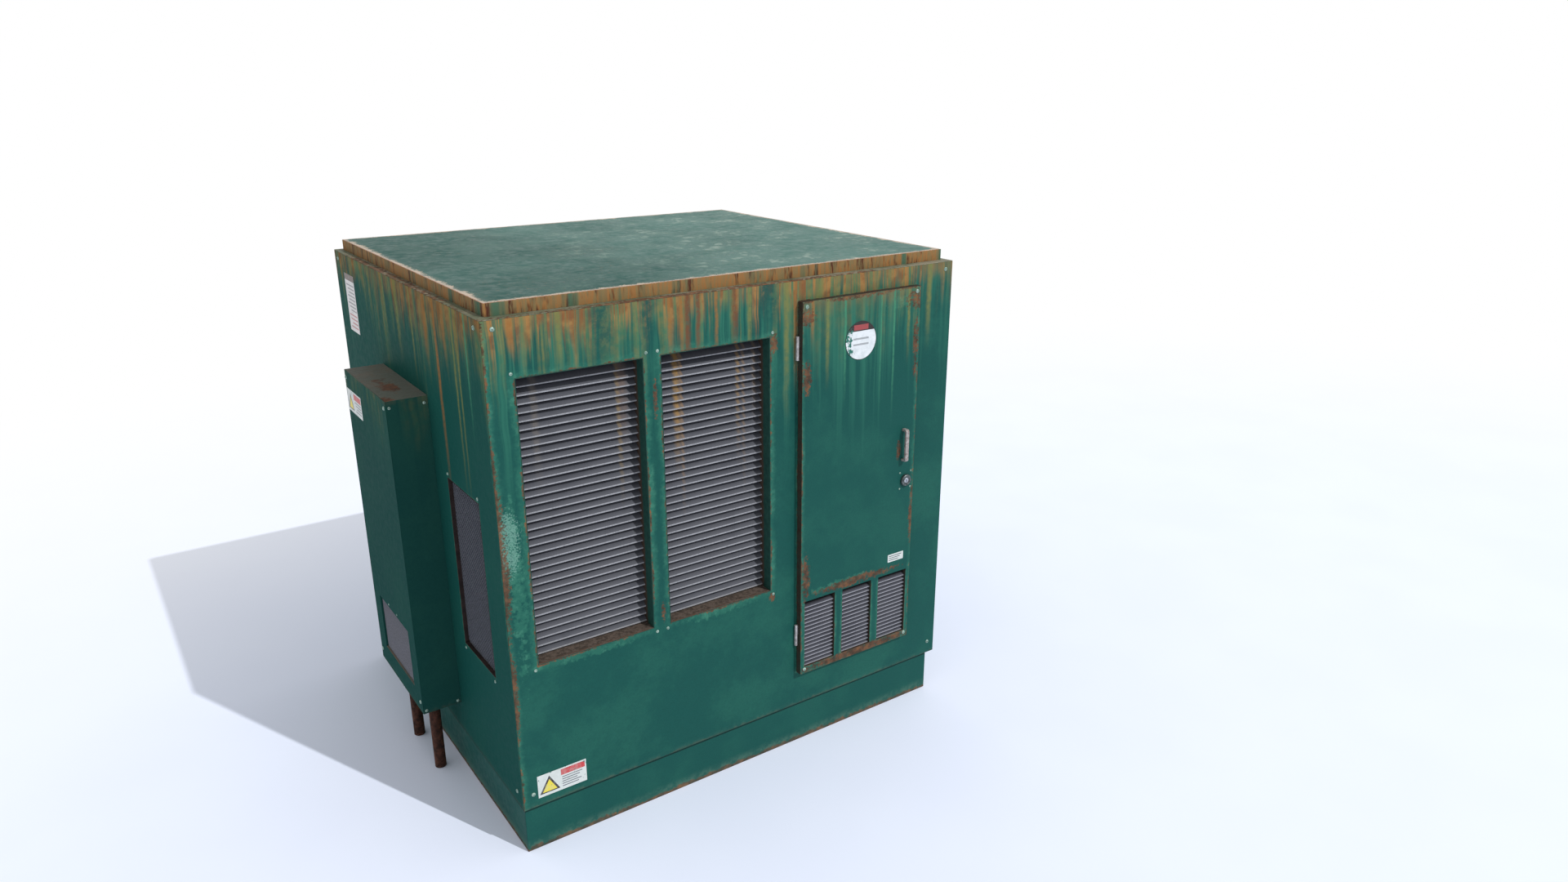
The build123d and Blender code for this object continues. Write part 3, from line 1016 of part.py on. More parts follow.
with BuildPart() as core:
    with BuildSketch(Plane.YZ.offset(CORE_X - CORE_STACK / 2)):
        with Locations((0, sum(CORE_Z) / 2)):
            Rectangle(CORE_Y[1] - CORE_Y[0], CORE_Z[1] - CORE_Z[0])
        with Locations((-LIMB_PITCH / 2, sum(WINDOW_Z) / 2), (LIMB_PITCH / 2, sum(WINDOW_Z) / 2)):
            Rectangle(LIMB_PITCH - LIMB_WIDTH, WINDOW_HEIGHT, mode=Mode.SUBTRACT)
    extrude(amount=CORE_STACK)
write_step(core, "core")

with BuildPart() as core_clamps:
    clamp_y = wider(CORE_Y, CLAMP_OVERHANG)
    for face, sign in ((CORE_X - CORE_STACK / 2, -1), (CORE_X + CORE_STACK / 2, 1)):
        for middle in (CORE_Z[0] + YOKE_HEIGHT / 2, CORE_Z[1] - YOKE_HEIGHT / 2):
            clamp_z = (middle - CLAMP_HEIGHT / 2, middle + CLAMP_HEIGHT / 2)
            block(sorted((face, face + sign * CLAMP_WALL)), clamp_y, clamp_z)
            for flange_z in ((clamp_z[0], clamp_z[0] + CLAMP_WALL), (clamp_z[1] - CLAMP_WALL, clamp_z[1])):
                block(sorted((face, face + sign * CLAMP_DEPTH)), clamp_y, flange_z)
write_step(core_clamps, "core_clamps")


def windings(size):
    """One hollow winding on each limb, given as inner radius, outer radius and height."""
    inner, outer, height = size
    middle = sum(WINDOW_Z) / 2
    with BuildSketch(Plane.XY.offset(middle - height / 2)) as rings:
        with Locations(*[(CORE_X, y) for y in LIMB_YS]):
            Circle(outer)
            Circle(inner, mode=Mode.SUBTRACT)
    extrude(rings.sketch, amount=height)


with BuildPart() as lv_windings:
    windings(LV_WINDING)
write_step(lv_windings, "lv_windings")

with BuildPart() as hv_windings:
    windings(HV_WINDING)
write_step(hv_windings, "hv_windings")

BLOCK_REACH = CORE_STACK / 2 + CLAMP_DEPTH
with BuildPart() as winding_blocks:
    middle = sum(WINDOW_Z) / 2
    low_block = (CORE_Z[0] + YOKE_HEIGHT / 2 + CLAMP_HEIGHT / 2, middle - LV_WINDING[2] / 2)
    high_block = (middle + LV_WINDING[2] / 2, CORE_Z[1] - YOKE_HEIGHT / 2 - CLAMP_HEIGHT / 2)
    block_ys = [y + side * BLOCK_OFFSET for y in LIMB_YS for side in (-1, 1)]
    for y in block_ys:
        for sign in (-1, 1):
            for span in (low_block, high_block):
                near, far = CORE_X + sign * (BLOCK_REACH - 25), CORE_X + sign * (BLOCK_REACH + 20)
                block(sorted((near, far)), (y - BLOCK_SIZE / 2, y + BLOCK_SIZE / 2), span)
write_step(winding_blocks, "winding_blocks")

with BuildPart() as core_rails:
    for y in (LIMB_YS[0], LIMB_YS[2]):
        rail_x = (CORE_X - RAIL_LENGTH / 2, CORE_X + RAIL_LENGTH / 2)
        web = (y - BLOCK_SIZE / 2, y - BLOCK_SIZE / 2 + CLAMP_WALL)
        block(rail_x, web, (FLOOR_TOP, CORE_Z[0]))
        for flange_z in ((FLOOR_TOP, FLOOR_TOP + CLAMP_WALL), (CORE_Z[0] - CLAMP_WALL, CORE_Z[0])):
            block(rail_x, (y - BLOCK_SIZE / 2, y + BLOCK_SIZE / 2), flange_z)
write_step(core_rails, "core_rails")

LINK_RISER_X = CORE_X + (LV_WINDING[0] + LV_WINDING[1]) / 2 + 6
LINK_RUN_YS = (-250, -190, -130)
with BuildPart() as lv_links:
    for phase, coil_y, run_y, level in zip(PHASES, LIMB_YS, LINK_RUN_YS, LINK_LEVELS):
        level_z = (level - BUSBAR[1] / 2, level + BUSBAR[1] / 2)
        riser_x = (LINK_RISER_X - BUSBAR[1] / 2, LINK_RISER_X + BUSBAR[1] / 2)
        along_x = (riser_x[0], GEAR_X + phase * BUSBAR_SPACING + LINK_HALF)
        coil_top = sum(WINDOW_Z) / 2 + LV_WINDING[2] / 2
        block(riser_x, (coil_y - LINK_HALF, coil_y + LINK_HALF), (coil_top, level_z[1]))
        run_span = (min(coil_y, run_y) - LINK_HALF, max(coil_y, run_y) + LINK_HALF)
        block((riser_x[0], riser_x[0] + BUSBAR[0]), run_span, level_z)
        block(along_x, (run_y - LINK_HALF, run_y + LINK_HALF), level_z)
        block((along_x[1] - BUSBAR[0], along_x[1]), (GEAR_Y + GEAR_SHEET, run_y + LINK_HALF), level_z)
write_step(lv_links, "lv_links")
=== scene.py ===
import math

import bmesh
import bpy
from mathutils import Euler, Matrix, Vector


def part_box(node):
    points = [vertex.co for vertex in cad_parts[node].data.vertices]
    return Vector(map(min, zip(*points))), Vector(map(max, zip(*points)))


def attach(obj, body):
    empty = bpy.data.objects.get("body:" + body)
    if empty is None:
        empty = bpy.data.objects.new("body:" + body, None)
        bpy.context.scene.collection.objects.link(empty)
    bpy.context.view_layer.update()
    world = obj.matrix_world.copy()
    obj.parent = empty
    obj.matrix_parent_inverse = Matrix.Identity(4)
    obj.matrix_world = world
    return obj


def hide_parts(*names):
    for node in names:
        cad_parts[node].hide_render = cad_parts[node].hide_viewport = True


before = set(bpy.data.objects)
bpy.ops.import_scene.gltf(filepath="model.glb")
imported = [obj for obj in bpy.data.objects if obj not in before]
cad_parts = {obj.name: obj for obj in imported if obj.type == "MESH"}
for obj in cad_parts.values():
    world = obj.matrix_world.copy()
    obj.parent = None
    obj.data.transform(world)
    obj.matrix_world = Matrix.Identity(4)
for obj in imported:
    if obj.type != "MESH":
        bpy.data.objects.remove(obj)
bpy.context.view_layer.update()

ACROSS_X, ACROSS_Y, ROUND_THE_CORNER = (1, 0, 0), (0, 1, 0), (0.7071, 0.7071, 0)
MM = 0.001
SAME_PLACE = 2e-6  # corners nearer than this are one corner


def tone(red, green, blue):
    """A linear colour from the usual 0 to 255 display values."""
    return tuple(
        v / 12.92 if v <= 0.04045 else ((v + 0.055) / 1.055) ** 2.4
        for v in (red / 255, green / 255, blue / 255)
    ) + (1.0,)


DEEP_GREEN = tone(23, 77, 71)
FRESH_GREEN = tone(44, 104, 88)
ORANGE_RUST = tone(150, 94, 46)
RED_RUST = tone(106, 70, 52)
DARK_RUST = tone(60, 42, 34)
PINK_EDGE = tone(196, 178, 160)


# ---- Node trees ---------------------------------------------------------------------------------

class Tree:
    """Adds nodes to one node tree, linking sockets and setting plain values."""

    def __init__(self, tree):
        self.tree = tree

    def put(self, kind, inputs=None, **settings):
        node = self.tree.nodes.new(kind)
        row, column = divmod(len(self.tree.nodes), 12)
        node.location = (column * 190, -row * 320)
        for key, value in settings.items():
            setattr(node, key, value)
        for key, value in (inputs or {}).items():
            if isinstance(value, bpy.types.NodeSocket):
                self.tree.links.new(value, node.inputs[key])
            else:
                node.inputs[key].default_value = value
        return node

    def math(self, operation, *values, clamp=False):
        return self.put("ShaderNodeMath", dict(enumerate(values)), operation=operation, use_clamp=clamp).outputs[0]

    def add(self, a, b):
        return self.math("ADD", a, b)

    def less(self, a, b):
        return self.math("SUBTRACT", a, b)

    def times(self, a, b):
        return self.math("MULTIPLY", a, b)

    def blend(self, a, share, b):
        """A share of a on top of b."""
        return self.math("MULTIPLY_ADD", a, share, b)

    def over(self, a, b):
        return self.math("DIVIDE", a, b)

    def size(self, value):
        return self.math("ABSOLUTE", value)

    def most(self, *values):
        found = values[0]
        for value in values[1:]:
            found = self.math("MAXIMUM", found, value)
        return found

    def least(self, a, b):
        return self.math("MINIMUM", a, b)

    def smooth(self, value, low, high, start=0.0, end=1.0):
        return self.put("ShaderNodeMapRange", {0: value, 1: low, 2: high, 3: start, 4: end},
                        interpolation_type="SMOOTHSTEP").outputs[0]

    def within(self, value, reach, soft):
        """One where the value is nearer to zero than reach, with a soft edge."""
        return self.smooth(self.size(value), reach - soft, reach + soft, 1.0, 0.0)

    def combine(self, x=0.0, y=0.0, z=0.0):
        return self.put("ShaderNodeCombineXYZ", {0: x, 1: y, 2: z}).outputs[0]

    def split(self, vector):
        return self.put("ShaderNodeSeparateXYZ", {0: vector}).outputs

    def vector(self, operation, *values):
        outputs = self.put("ShaderNodeVectorMath", dict(enumerate(values)), operation=operation).outputs
        return outputs["Value"] if operation in ("DOT_PRODUCT", "LENGTH") else outputs[0]

    def dot(self, a, b):
        return self.vector("DOT_PRODUCT", a, b)

    def upward(self):
        """How far the face looks up."""
        return self.split(self.put("ShaderNodeNewGeometry").outputs["True Normal"])[2]

    def noise(self, vector, scale, detail=3.0, roughness=0.55):
        return self.put("ShaderNodeTexNoise", {"Vector": vector, "Scale": scale, "Detail": detail,
                                               "Roughness": roughness}).outputs[0]

    def mix(self, factor, a, b):
        return self.put("ShaderNodeMix", {0: factor, 6: a, 7: b}, data_type="RGBA").outputs[2]

    def bump(self, height, strength, distance):
        return self.put("ShaderNodeBump", {"Height": height, "Strength": strength,
                                           "Distance": distance}).outputs[0]


def group(name, inputs, outputs, build):
    """A shader node group with named sockets. build gets the tree and its inputs, and returns the outputs."""
    made = bpy.data.node_groups.new(name, "ShaderNodeTree")
    kinds = {"v": "NodeSocketVector", "f": "NodeSocketFloat", "c": "NodeSocketColor"}
    for label, (kind, value) in inputs.items():
        socket = made.interface.new_socket(name=label, in_out="INPUT", socket_type=kinds[kind])
        if value is not None:
            socket.default_value = value
    for label, kind in outputs.items():
        made.interface.new_socket(name=label, in_out="OUTPUT", socket_type=kinds[kind])
    t = Tree(made)
    entry = t.put("NodeGroupInput")
    t.put("NodeGroupOutput", build(t, {label: entry.outputs[label] for label in inputs}))
    return made


def use(t, which, inputs):
    """One use of a shader group in a tree. Returns its outputs."""
    return t.put("ShaderNodeGroup", inputs, node_tree=which).outputs


def streaks(t, i):
    """Columns of different lengths that run down from a top edge."""
    across = t.dot(i["Position"], i["Across"])
    height = t.split(i["Position"])[2]
    below = t.less(i["Top"], height)
    wave = t.noise(i["Position"], 9.0, 1.0)
    drift = t.blend(wave, 0.012, across)
    wide = t.times(drift, i["Columns"])
    seeded = t.add(i["Seed"], t.times(height, 0.5))
    column = t.noise(t.combine(wide, 0.0, seeded), 1.0, 2.5, 0.6)
    hair = t.noise(t.combine(t.times(wide, 4.3), i["Seed"], t.times(height, 1.6)), 1.0, 2.0)
    length = t.noise(t.combine(t.times(wide, 0.55), i["Seed"], 3.7), 1.0, 2.0, 0.7)
    reach = t.times(t.smooth(length, 0.3, 0.72, 0.18, 1.0), i["Reach"])
    fade = t.smooth(t.over(below, reach), 0.15, 1.0, 1.0, 0.0)
    grouped = t.noise(t.combine(t.times(wide, 0.16), i["Seed"], 9.1), 1.0, 2.0)
    body = t.smooth(t.add(t.blend(hair, 0.34, column), t.times(grouped, 0.5)),
                    0.82, 1.02)
    mask = t.math("MULTIPLY", t.times(body, fade), i["Amount"], clamp=True)
    return {"Mask": mask, "Fade": fade}


STREAKS = group("Vertical Streaks", {
    "Position": ("v", None), "Across": ("v", ACROSS_X), "Top": ("f", 2.09), "Reach": ("f", 0.4),
    "Columns": ("f", 26.0), "Amount": ("f", 1.0), "Seed": ("f", 0.0)},
    {"Mask": "f", "Fade": "f"}, streaks)


def drip(t, i):
    """One stain that runs straight down from a point."""
    across = t.less(t.dot(i["Position"], i["Across"]), i["Centre"])
    height = t.split(i["Position"])[2]
    along = t.over(t.less(i["Top"], height), i["Length"])
    wobble = t.less(t.noise(t.combine(i["Centre"], i["Centre"], height), 14.0, 2.0), 0.5)
    offset = t.size(t.blend(wobble, t.times(i["Width"], 0.8), across))
    side = t.smooth(t.over(offset, i["Width"]), 0.15, 1.0, 1.0, 0.0)
    end = t.times(t.smooth(along, 0.3, 1.0, 1.0, 0.0), t.smooth(along, -0.04, 0.02))
    broken = t.smooth(t.noise(i["Position"], 60.0, 3.0), 0.3, 0.6, 0.55, 1.0)
    return {"Mask": t.times(t.times(side, end), broken)}


DRIP = group("Drip", {
    "Position": ("v", None), "Across": ("v", ACROSS_X), "Centre": ("f", 0.0), "Width": ("f", 0.02),
    "Top": ("f", 2.09), "Length": ("f", 0.5)}, {"Mask": "f"}, drip)


def border_wear(t, i):
    """Wear on both sides of a rectangle's outline: a wide band of faded paint and a narrow one of rust."""
    across = t.dot(i["Position"], i["Across"])
    height = t.split(i["Position"])[2]

    def beyond(value, low, high):
        return t.most(t.less(low, value), t.less(value, high))

    u = beyond(across, i["Left"], i["Right"])
    v = beyond(height, i["Bottom"], i["Top"])
    outside = t.vector("LENGTH", t.combine(t.most(u, 0.0), t.most(v, 0.0)))
    inside = t.least(t.most(u, v), 0.0)
    distance = t.size(t.add(outside, inside))
    seeded = t.vector("ADD", i["Position"], i["Seed"])
    large = t.noise(seeded, 7.0, 2.0)
    small = t.noise(seeded, 55.0, 4.0, 0.65)
    grain = t.noise(seeded, 210.0, 3.0, 0.6)
    near = t.smooth(t.over(distance, i["Fade Reach"]), 0.0, 1.0, 1.0, 0.0)
    faded = t.smooth(t.add(t.blend(near, 0.55, t.times(large, 0.6)),
                            t.times(small, 0.45)), 0.78, 1.2)
    close = t.smooth(t.over(distance, i["Rust Reach"]), 0.0, 1.0, 1.0, 0.0)
    pitted = t.blend(small, 0.55, t.blend(large, 0.45, t.times(grain, 0.3)))
    rust = t.smooth(t.blend(close, 0.36, pitted), 0.95, 1.06, 0.0, 0.85)
    return {"Faded": t.times(faded, t.smooth(near, 0.0, 0.25)),
            "Rust": t.times(rust, t.smooth(close, 0.0, 0.2))}


BORDER = group("Border Wear", {
    "Position": ("v", None), "Across": ("v", ACROSS_X), "Left": ("f", 0.0), "Right": ("f", 1.0),
    "Bottom": ("f", 0.0), "Top": ("f", 1.0), "Fade Reach": ("f", 0.08), "Rust Reach": ("f", 0.03),
    "Seed": ("v", (0, 0, 0))}, {"Faded": "f", "Rust": "f"}, border_wear)


def patch(t, i):
    """Ragged patches that gather round a point."""
    away = t.vector("SUBTRACT", i["Position"], i["Centre"])
    scaled = t.vector("DIVIDE", away, i["Size"])
    distance = t.vector("LENGTH", scaled)
    near = t.smooth(distance, 0.2, 1.0, 1.0, 0.0)
    ragged = t.blend(t.noise(i["Position"], i["Scale"], 5.0, 0.65), 0.8,
                    t.times(t.noise(i["Position"], 9.0, 2.0), 0.35))
    return {"Mask": t.times(t.smooth(t.blend(near, 0.32, ragged), 0.76, 0.9, 0.0, 0.85),
                           t.smooth(near, 0.0, 0.3))}


PATCH = group("Patch", {
    "Position": ("v", None), "Centre": ("v", (0, 0, 0)), "Size": ("v", (0.1, 1, 0.1)), "Scale": ("f", 45.0)},
    {"Mask": "f"}, patch)


def relief(t, i):
    """Orange-peel paint, a slight waviness of the sheet, and pitted rust."""
    peel = t.noise(i["Position"], 900.0, 2.0)
    pits = t.noise(i["Position"], 420.0, 4.0, 0.7)
    wave = t.noise(i["Position"], 2.2, 1.0)
    height = t.add(t.times(peel, 0.04),
                    t.times(t.times(pits, i["Rust"]), 0.9))
    height = t.blend(wave, i["Waviness"], height)
    return {"Normal": t.bump(height, i["Strength"], 0.0012)}


RELIEF = group("Surface Relief", {
    "Position": ("v", None), "Rust": ("f", 0.0), "Waviness": ("f", 1.5), "Strength": ("f", 0.6)},
    {"Normal": "v"}, relief)


def rust_colour(t, i):
    """Rust that varies from dark brown to orange."""
    coarse = t.noise(i["Position"], 30.0, 4.0, 0.6)
    fine = t.noise(i["Position"], 260.0, 3.0)
    dark = t.mix(t.smooth(coarse, 0.35, 0.6), DARK_RUST, RED_RUST)
    orange = t.mix(t.smooth(t.add(coarse, i["Orange"]), 0.55, 0.85), dark, ORANGE_RUST)
    return {"Colour": t.mix(t.smooth(fine, 0.3, 0.7, 0.0, 0.35), orange, i["Tint"])}


RUST = group("Rust Colour", {"Position": ("v", None), "Orange": ("f", 0.1), "Tint": ("c", RED_RUST)},
             {"Colour": "c"}, rust_colour)


def material(name):
    """A new material, its tree, its Principled node and the object coordinates."""
    made = bpy.data.materials.new(name)
    made.use_nodes = True
    t = Tree(made.node_tree)
    shader = made.node_tree.nodes["Principled BSDF"]
    position = t.put("ShaderNodeTexCoord").outputs["Object"]
    return made, t, shader, position


def finish_surface(t, shader, specular, colour, roughness, normal):
    shader.inputs["Specular IOR Level"].default_value = specular
    for name, socket in (("Base Color", colour), ("Roughness", roughness), ("Normal", normal)):
        t.tree.links.new(socket, shader.inputs[name])


RUN_COLOURS = {"orange": tone(140, 98, 54), "red": tone(108, 66, 44), "olive": tone(110, 116, 70),
               "pale": tone(64, 128, 100), "dark": tone(24, 74, 70)}


def painted(name, across, top, base=DEEP_GREEN, fresh=FRESH_GREEN, mottle=0.5, specular=0.08, stain=None,
            rust_run=None, pale_run=None, borders=(), patches=(), drips=(), foot=None, seed=0.0, wash=0.0,
            quiet=None, painted_shadow_line=False):
    """Weathered paint on one face.

    Runs are (amount, reach, columns), borders are (left, right, bottom, top, faded reach, rust reach),
    patches are (kind, centre, size, scale), drips are (kind, across, width, length), foot is (bottom,
    reach, strength), and quiet is where runs start and end to fade, and what is left of them."""
    made, t, shader, position = material(name)
    seeded = t.vector("ADD", position, (seed, seed * 0.7, seed * 1.3))
    along, height = t.dot(position, across), t.split(position)[2]
    fleck = t.noise(seeded, 38.0, 4.0, 0.62)

    def run(settings, offset):
        if not settings:
            return 0.0
        amount, reach, columns = settings
        if quiet:
            start, end, left_over = quiet
            amount = t.smooth(along, start, end, amount, amount * left_over)
        return use(t, STREAKS, {"Position": position, "Across": across, "Top": top, "Reach": reach,
                                "Columns": columns, "Amount": amount, "Seed": seed + offset})[0]

    clouds = t.smooth(t.blend(fleck, 0.35, t.noise(seeded, 3.4, 3.0)), 0.58, 0.86)
    colour = t.mix(t.times(clouds, mottle), base, fresh)
    colour = t.mix(t.smooth(t.noise(seeded, 140.0, 2.0), 0.35, 0.75, 0.0, 0.2), colour, tone(18, 58, 54))
    colour = t.mix(run(pale_run, 5.1), colour, fresh)
    marks = {"faded": [], "rust": [], "chips": []}
    for left, right, bottom, high, fade_reach, rust_reach in borders:
        wear = use(t, BORDER, {"Position": position, "Across": across, "Left": left, "Right": right,
                               "Bottom": bottom, "Top": high, "Fade Reach": fade_reach,
                               "Rust Reach": rust_reach, "Seed": (seed, left * 3, high * 2)})
        marks["faded"].append(wear["Faded"])
        marks["rust"].append(wear["Rust"])
    for kind, centre, size, scale in patches:
        marks[kind].append(
            use(t, PATCH, {"Position": position, "Centre": centre, "Size": size, "Scale": scale})[0])
    if marks["faded"]:
        lighter = t.mix(t.smooth(fleck, 0.45, 0.7), fresh, tone(66, 126, 106))
        colour = t.mix(t.times(t.most(*marks["faded"]), 0.8), colour, lighter)
    if wash:
        veil = t.smooth(t.blend(fleck, 0.05, t.less(top, height)), 0.02, 0.12, 1.0, 0.0)
        uneven = t.noise(t.combine(t.times(along, 14.0), seed, 0.0), 1.0, 3.0)
        veil = t.times(t.times(veil, t.smooth(uneven, 0.3, 0.62, 0.25, 1.0)), wash)
        colour = t.mix(veil, colour, tone(104, 98, 70))
    olive = t.mix(t.smooth(t.noise(seeded, 22.0, 3.0), 0.35, 0.65), tone(78, 112, 78), tone(118, 118, 72))
    colour = t.mix(t.times(run(stain, 11.3), 0.85), colour, olive)
    rusty = run(rust_run, 23.9)
    brown = t.mix(t.smooth(t.noise(seeded, 16.0, 3.0), 0.4, 0.62), tone(152, 112, 66), tone(124, 80, 50))
    colour = t.mix(t.times(rusty, 0.9), colour, brown)
    for kind, centre, width, length in drips:
        mask = use(t, DRIP, {"Position": position, "Across": across, "Centre": centre, "Width": width,
                             "Top": top, "Length": length})[0]
        colour = t.mix(t.times(mask, 0.85), colour, RUN_COLOURS[kind])
    if marks["chips"]:
        colour = t.mix(t.times(t.most(*marks["chips"]), 0.8), colour, tone(112, 156, 142))
    if foot:
        bottom, reach, strength = foot
        splash = t.smooth(t.over(t.less(height, bottom), reach), 0.0, 1.0, 1.0, 0.0)
        dirt = t.times(splash, t.smooth(fleck, 0.38, 0.62, 0.25, 1.0))
        colour = t.mix(t.times(dirt, strength), colour, tone(88, 118, 104))
        marks["rust"].append(t.times(t.smooth(t.add(splash, fleck), 1.24, 1.4), strength))
    # Painted shadow: a dark band a little under the top edge stands in for the shade under the edge that overhangs it.
    if painted_shadow_line:
        shaded = t.smooth(t.blend(fleck, 0.003, height), top - 0.009, top - 0.005)
        colour = t.mix(t.times(shaded, 0.8), colour, tone(14, 34, 32))
    rust = t.most(*marks["rust"])
    colour = t.mix(rust, colour, use(t, RUST, {"Position": seeded, "Orange": 0.03})[0])
    rough = t.add(t.smooth(fleck, 0.3, 0.7, 0.44, 0.58), t.times(t.most(rust, rusty), 0.3))
    finish_surface(t, shader, specular, colour, rough, use(t, RELIEF, {"Position": position, "Rust": rust})[0])
    return made


def plain(name, light, dark, scale, roughness, metallic=0.0, specular=0.4, rust=0.0, stretch=(1, 1, 1), coat=0.0):
    """A simple surface between two display colours, with some rust if asked for."""
    made, t, shader, position = material(name)
    place = t.vector("MULTIPLY", position, stretch)
    cloud = t.noise(place, scale, 4.0)
    fine = t.noise(place, scale * 9, 3.0)
    colour = t.mix(t.smooth(t.blend(fine, 0.3, cloud), 0.45, 0.85), tone(*light), tone(*dark))
    rough = t.smooth(cloud, 0.3, 0.7, *roughness)
    if rust:
        mask = t.smooth(t.blend(t.noise(position, scale * 0.6, 5.0, 0.7), 0.8, rust), 0.62, 0.72)
        colour = t.mix(mask, colour, use(t, RUST, {"Position": position, "Orange": 0.15})[0])
        rough = t.blend(mask, 0.3, rough)
    shader.inputs["Metallic"].default_value = metallic
    shader.inputs["Coat Weight"].default_value = coat
    finish_surface(t, shader, specular, colour, rough,
                   t.bump(t.blend(fine, 0.5, t.times(cloud, 0.4)), 0.35, 0.0006))
    return made


# ---- Pieces -----------------------------------------------------------------------------------------

def add_object(name, mesh):
    made = bpy.data.objects.new(name, mesh)
    bpy.context.scene.collection.objects.link(made)
    return made


def baked(obj):
    """The object with its modifiers worked into its mesh."""
    bpy.context.view_layer.update()
    mesh = bpy.data.meshes.new_from_object(obj.evaluated_get(bpy.context.evaluated_depsgraph_get()))
    obj.modifiers.clear()
    obj.data = mesh
    return obj


def rounded(obj, width, segments=2, angle=32, shortest=0.0):
    """Rounds the object's sharp edges that are longer than shortest, and keeps its flat faces flat."""
    obj.data.shade_smooth()
    bm = bmesh.new()
    bm.from_mesh(obj.data)
    weight = bm.edges.layers.float.new("bevel_weight_edge")
    for edge in bm.edges:
        edge[weight] = float(edge.calc_length() > shortest and edge.calc_face_angle(0.0) > math.radians(angle))
    bm.to_mesh(obj.data)
    bm.free()
    bevel = obj.modifiers.new("Bevel", "BEVEL")
    bevel.width, bevel.segments, bevel.limit_method = width, segments, "WEIGHT"
    bevel.use_clamp_overlap = False
    weighted = obj.modifiers.new("Weighted", "WEIGHTED_NORMAL")
    weighted.weight, weighted.keep_sharp = 80, True
    return baked(obj)


def placed(obj, nodes, body, materials):
    """Hangs a finished piece on its body in place of CAD nodes."""
    obj.data.materials.clear()
    for one in materials if isinstance(materials, (list, tuple)) else [materials]:
        obj.data.materials.append(one)
    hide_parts(*nodes)
    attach(obj, body)
    return obj


def mesh_from(bm, name):
    """The finished mesh of a bmesh, which is freed."""
    mesh = bpy.data.meshes.new(name)
    bm.to_mesh(mesh)
    bm.free()
    return mesh


def cad_bmesh(node):
    """A CAD node's mesh with its doubled corners joined."""
    bm = bmesh.new()
    bm.from_mesh(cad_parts[node].data)
    bmesh.ops.remove_doubles(bm, verts=bm.verts, dist=SAME_PLACE)
    return bm


def softened(name, node, body, look, width=1.0, segments=2, angle=32, shortest=0.0):
    """A copy of a CAD node with rounded edges, whose width is in millimetres."""
    bm = cad_bmesh(node)
    bmesh.ops.dissolve_degenerate(bm, edges=bm.edges, dist=SAME_PLACE / 2)
    obj = rounded(add_object(name, mesh_from(bm, name)), width * MM, segments, angle, shortest)
    return placed(obj, [node], body, look)


def ring(bm, radius, height, sides):
    """Corners round a circle about +Z."""
    turns = [2 * math.pi * k / sides for k in range(sides)]
    return [bm.verts.new((radius * math.cos(a), radius * math.sin(a), height)) for a in turns]


def skin(bm, rings):
    """Faces between rings that follow each other."""
    for low, high in zip(rings, rings[1:]):
        for k, after in enumerate([*range(1, len(low)), 0]):
            bm.faces.new((low[k], low[after], high[after], high[k]))


def lathe(profile, sides):
    """A mesh turned from (radius, height) points about +Z."""
    bm = bmesh.new()
    skin(bm, [ring(bm, radius, height, sides) for radius, height in profile])
    mesh = mesh_from(bm, "lathe")
    mesh.shade_smooth()
    return mesh


def islands(node):
    """(lowest corner, highest corner, mean of the vertices) of each separate solid of a CAD node."""
    bm = cad_bmesh(node)
    left, found = set(bm.verts), []
    while left:
        stack, part = [left.pop()], []
        while stack:
            v = stack.pop()
            part.append(v.co.copy())
            for e in v.link_edges:
                other = e.other_vert(v)
                if other in left:
                    left.remove(other)
                    stack.append(other)
        low = Vector([min(c[k] for c in part) for k in range(3)])
        high = Vector([max(c[k] for c in part) for k in range(3)])
        found.append((low, high, sum(part, Vector()) / len(part)))
    bm.free()
    return sorted(found, key=lambda f: tuple(round(v, 4) for v in f[0]))


# ---- Repeated parts: Geometry Nodes -----------------------------------------------------------------

def geometry_tree(name, inputs):
    made = bpy.data.node_groups.new(name, "GeometryNodeTree")
    made.interface.new_socket(name="Geometry", in_out="INPUT", socket_type="NodeSocketGeometry")
    for label, (kind, value) in inputs.items():
        socket = made.interface.new_socket(name=label, in_out="INPUT", socket_type=kind)
        if value is not None:
            socket.default_value = value
    made.interface.new_socket(name="Geometry", in_out="OUTPUT", socket_type="NodeSocketGeometry")
    t = Tree(made)
    return made, t, t.put("NodeGroupInput").outputs


def close_tree(t, instances, look):
    real = t.put("GeometryNodeRealizeInstances", {0: instances}).outputs[0]
    painted_over = t.put("GeometryNodeSetMaterial", {"Geometry": real, "Material": look}).outputs[0]
    t.put("NodeGroupOutput", {0: painted_over})


ROW, t, i = geometry_tree("Row", {
    "Count": ("NodeSocketInt", 10), "Start": ("NodeSocketVector", (0, 0, 0)), "Step": ("NodeSocketVector", (0, 0, 0.03)),
    "Tilt": ("NodeSocketVector", (0, 0, 0)), "Seed": ("NodeSocketInt", 1), "Material": ("NodeSocketMaterial", None)})
line = t.put("GeometryNodeMeshLine", {"Count": i["Count"], "Start Location": i["Start"], "Offset": i["Step"]})
copies = t.put("GeometryNodeInstanceOnPoints", {"Points": line.outputs[0], "Instance": i["Geometry"]})
lowest = t.vector("MULTIPLY", i["Tilt"], (-1, -1, -1))
jitter = t.put("FunctionNodeRandomValue", {0: lowest, 1: i["Tilt"], 8: i["Seed"]}, data_type="FLOAT_VECTOR")
turned = t.put("GeometryNodeRotateInstances", {"Instances": copies.outputs[0], "Rotation": jitter.outputs[0]})
close_tree(t, turned.outputs[0], i["Material"])

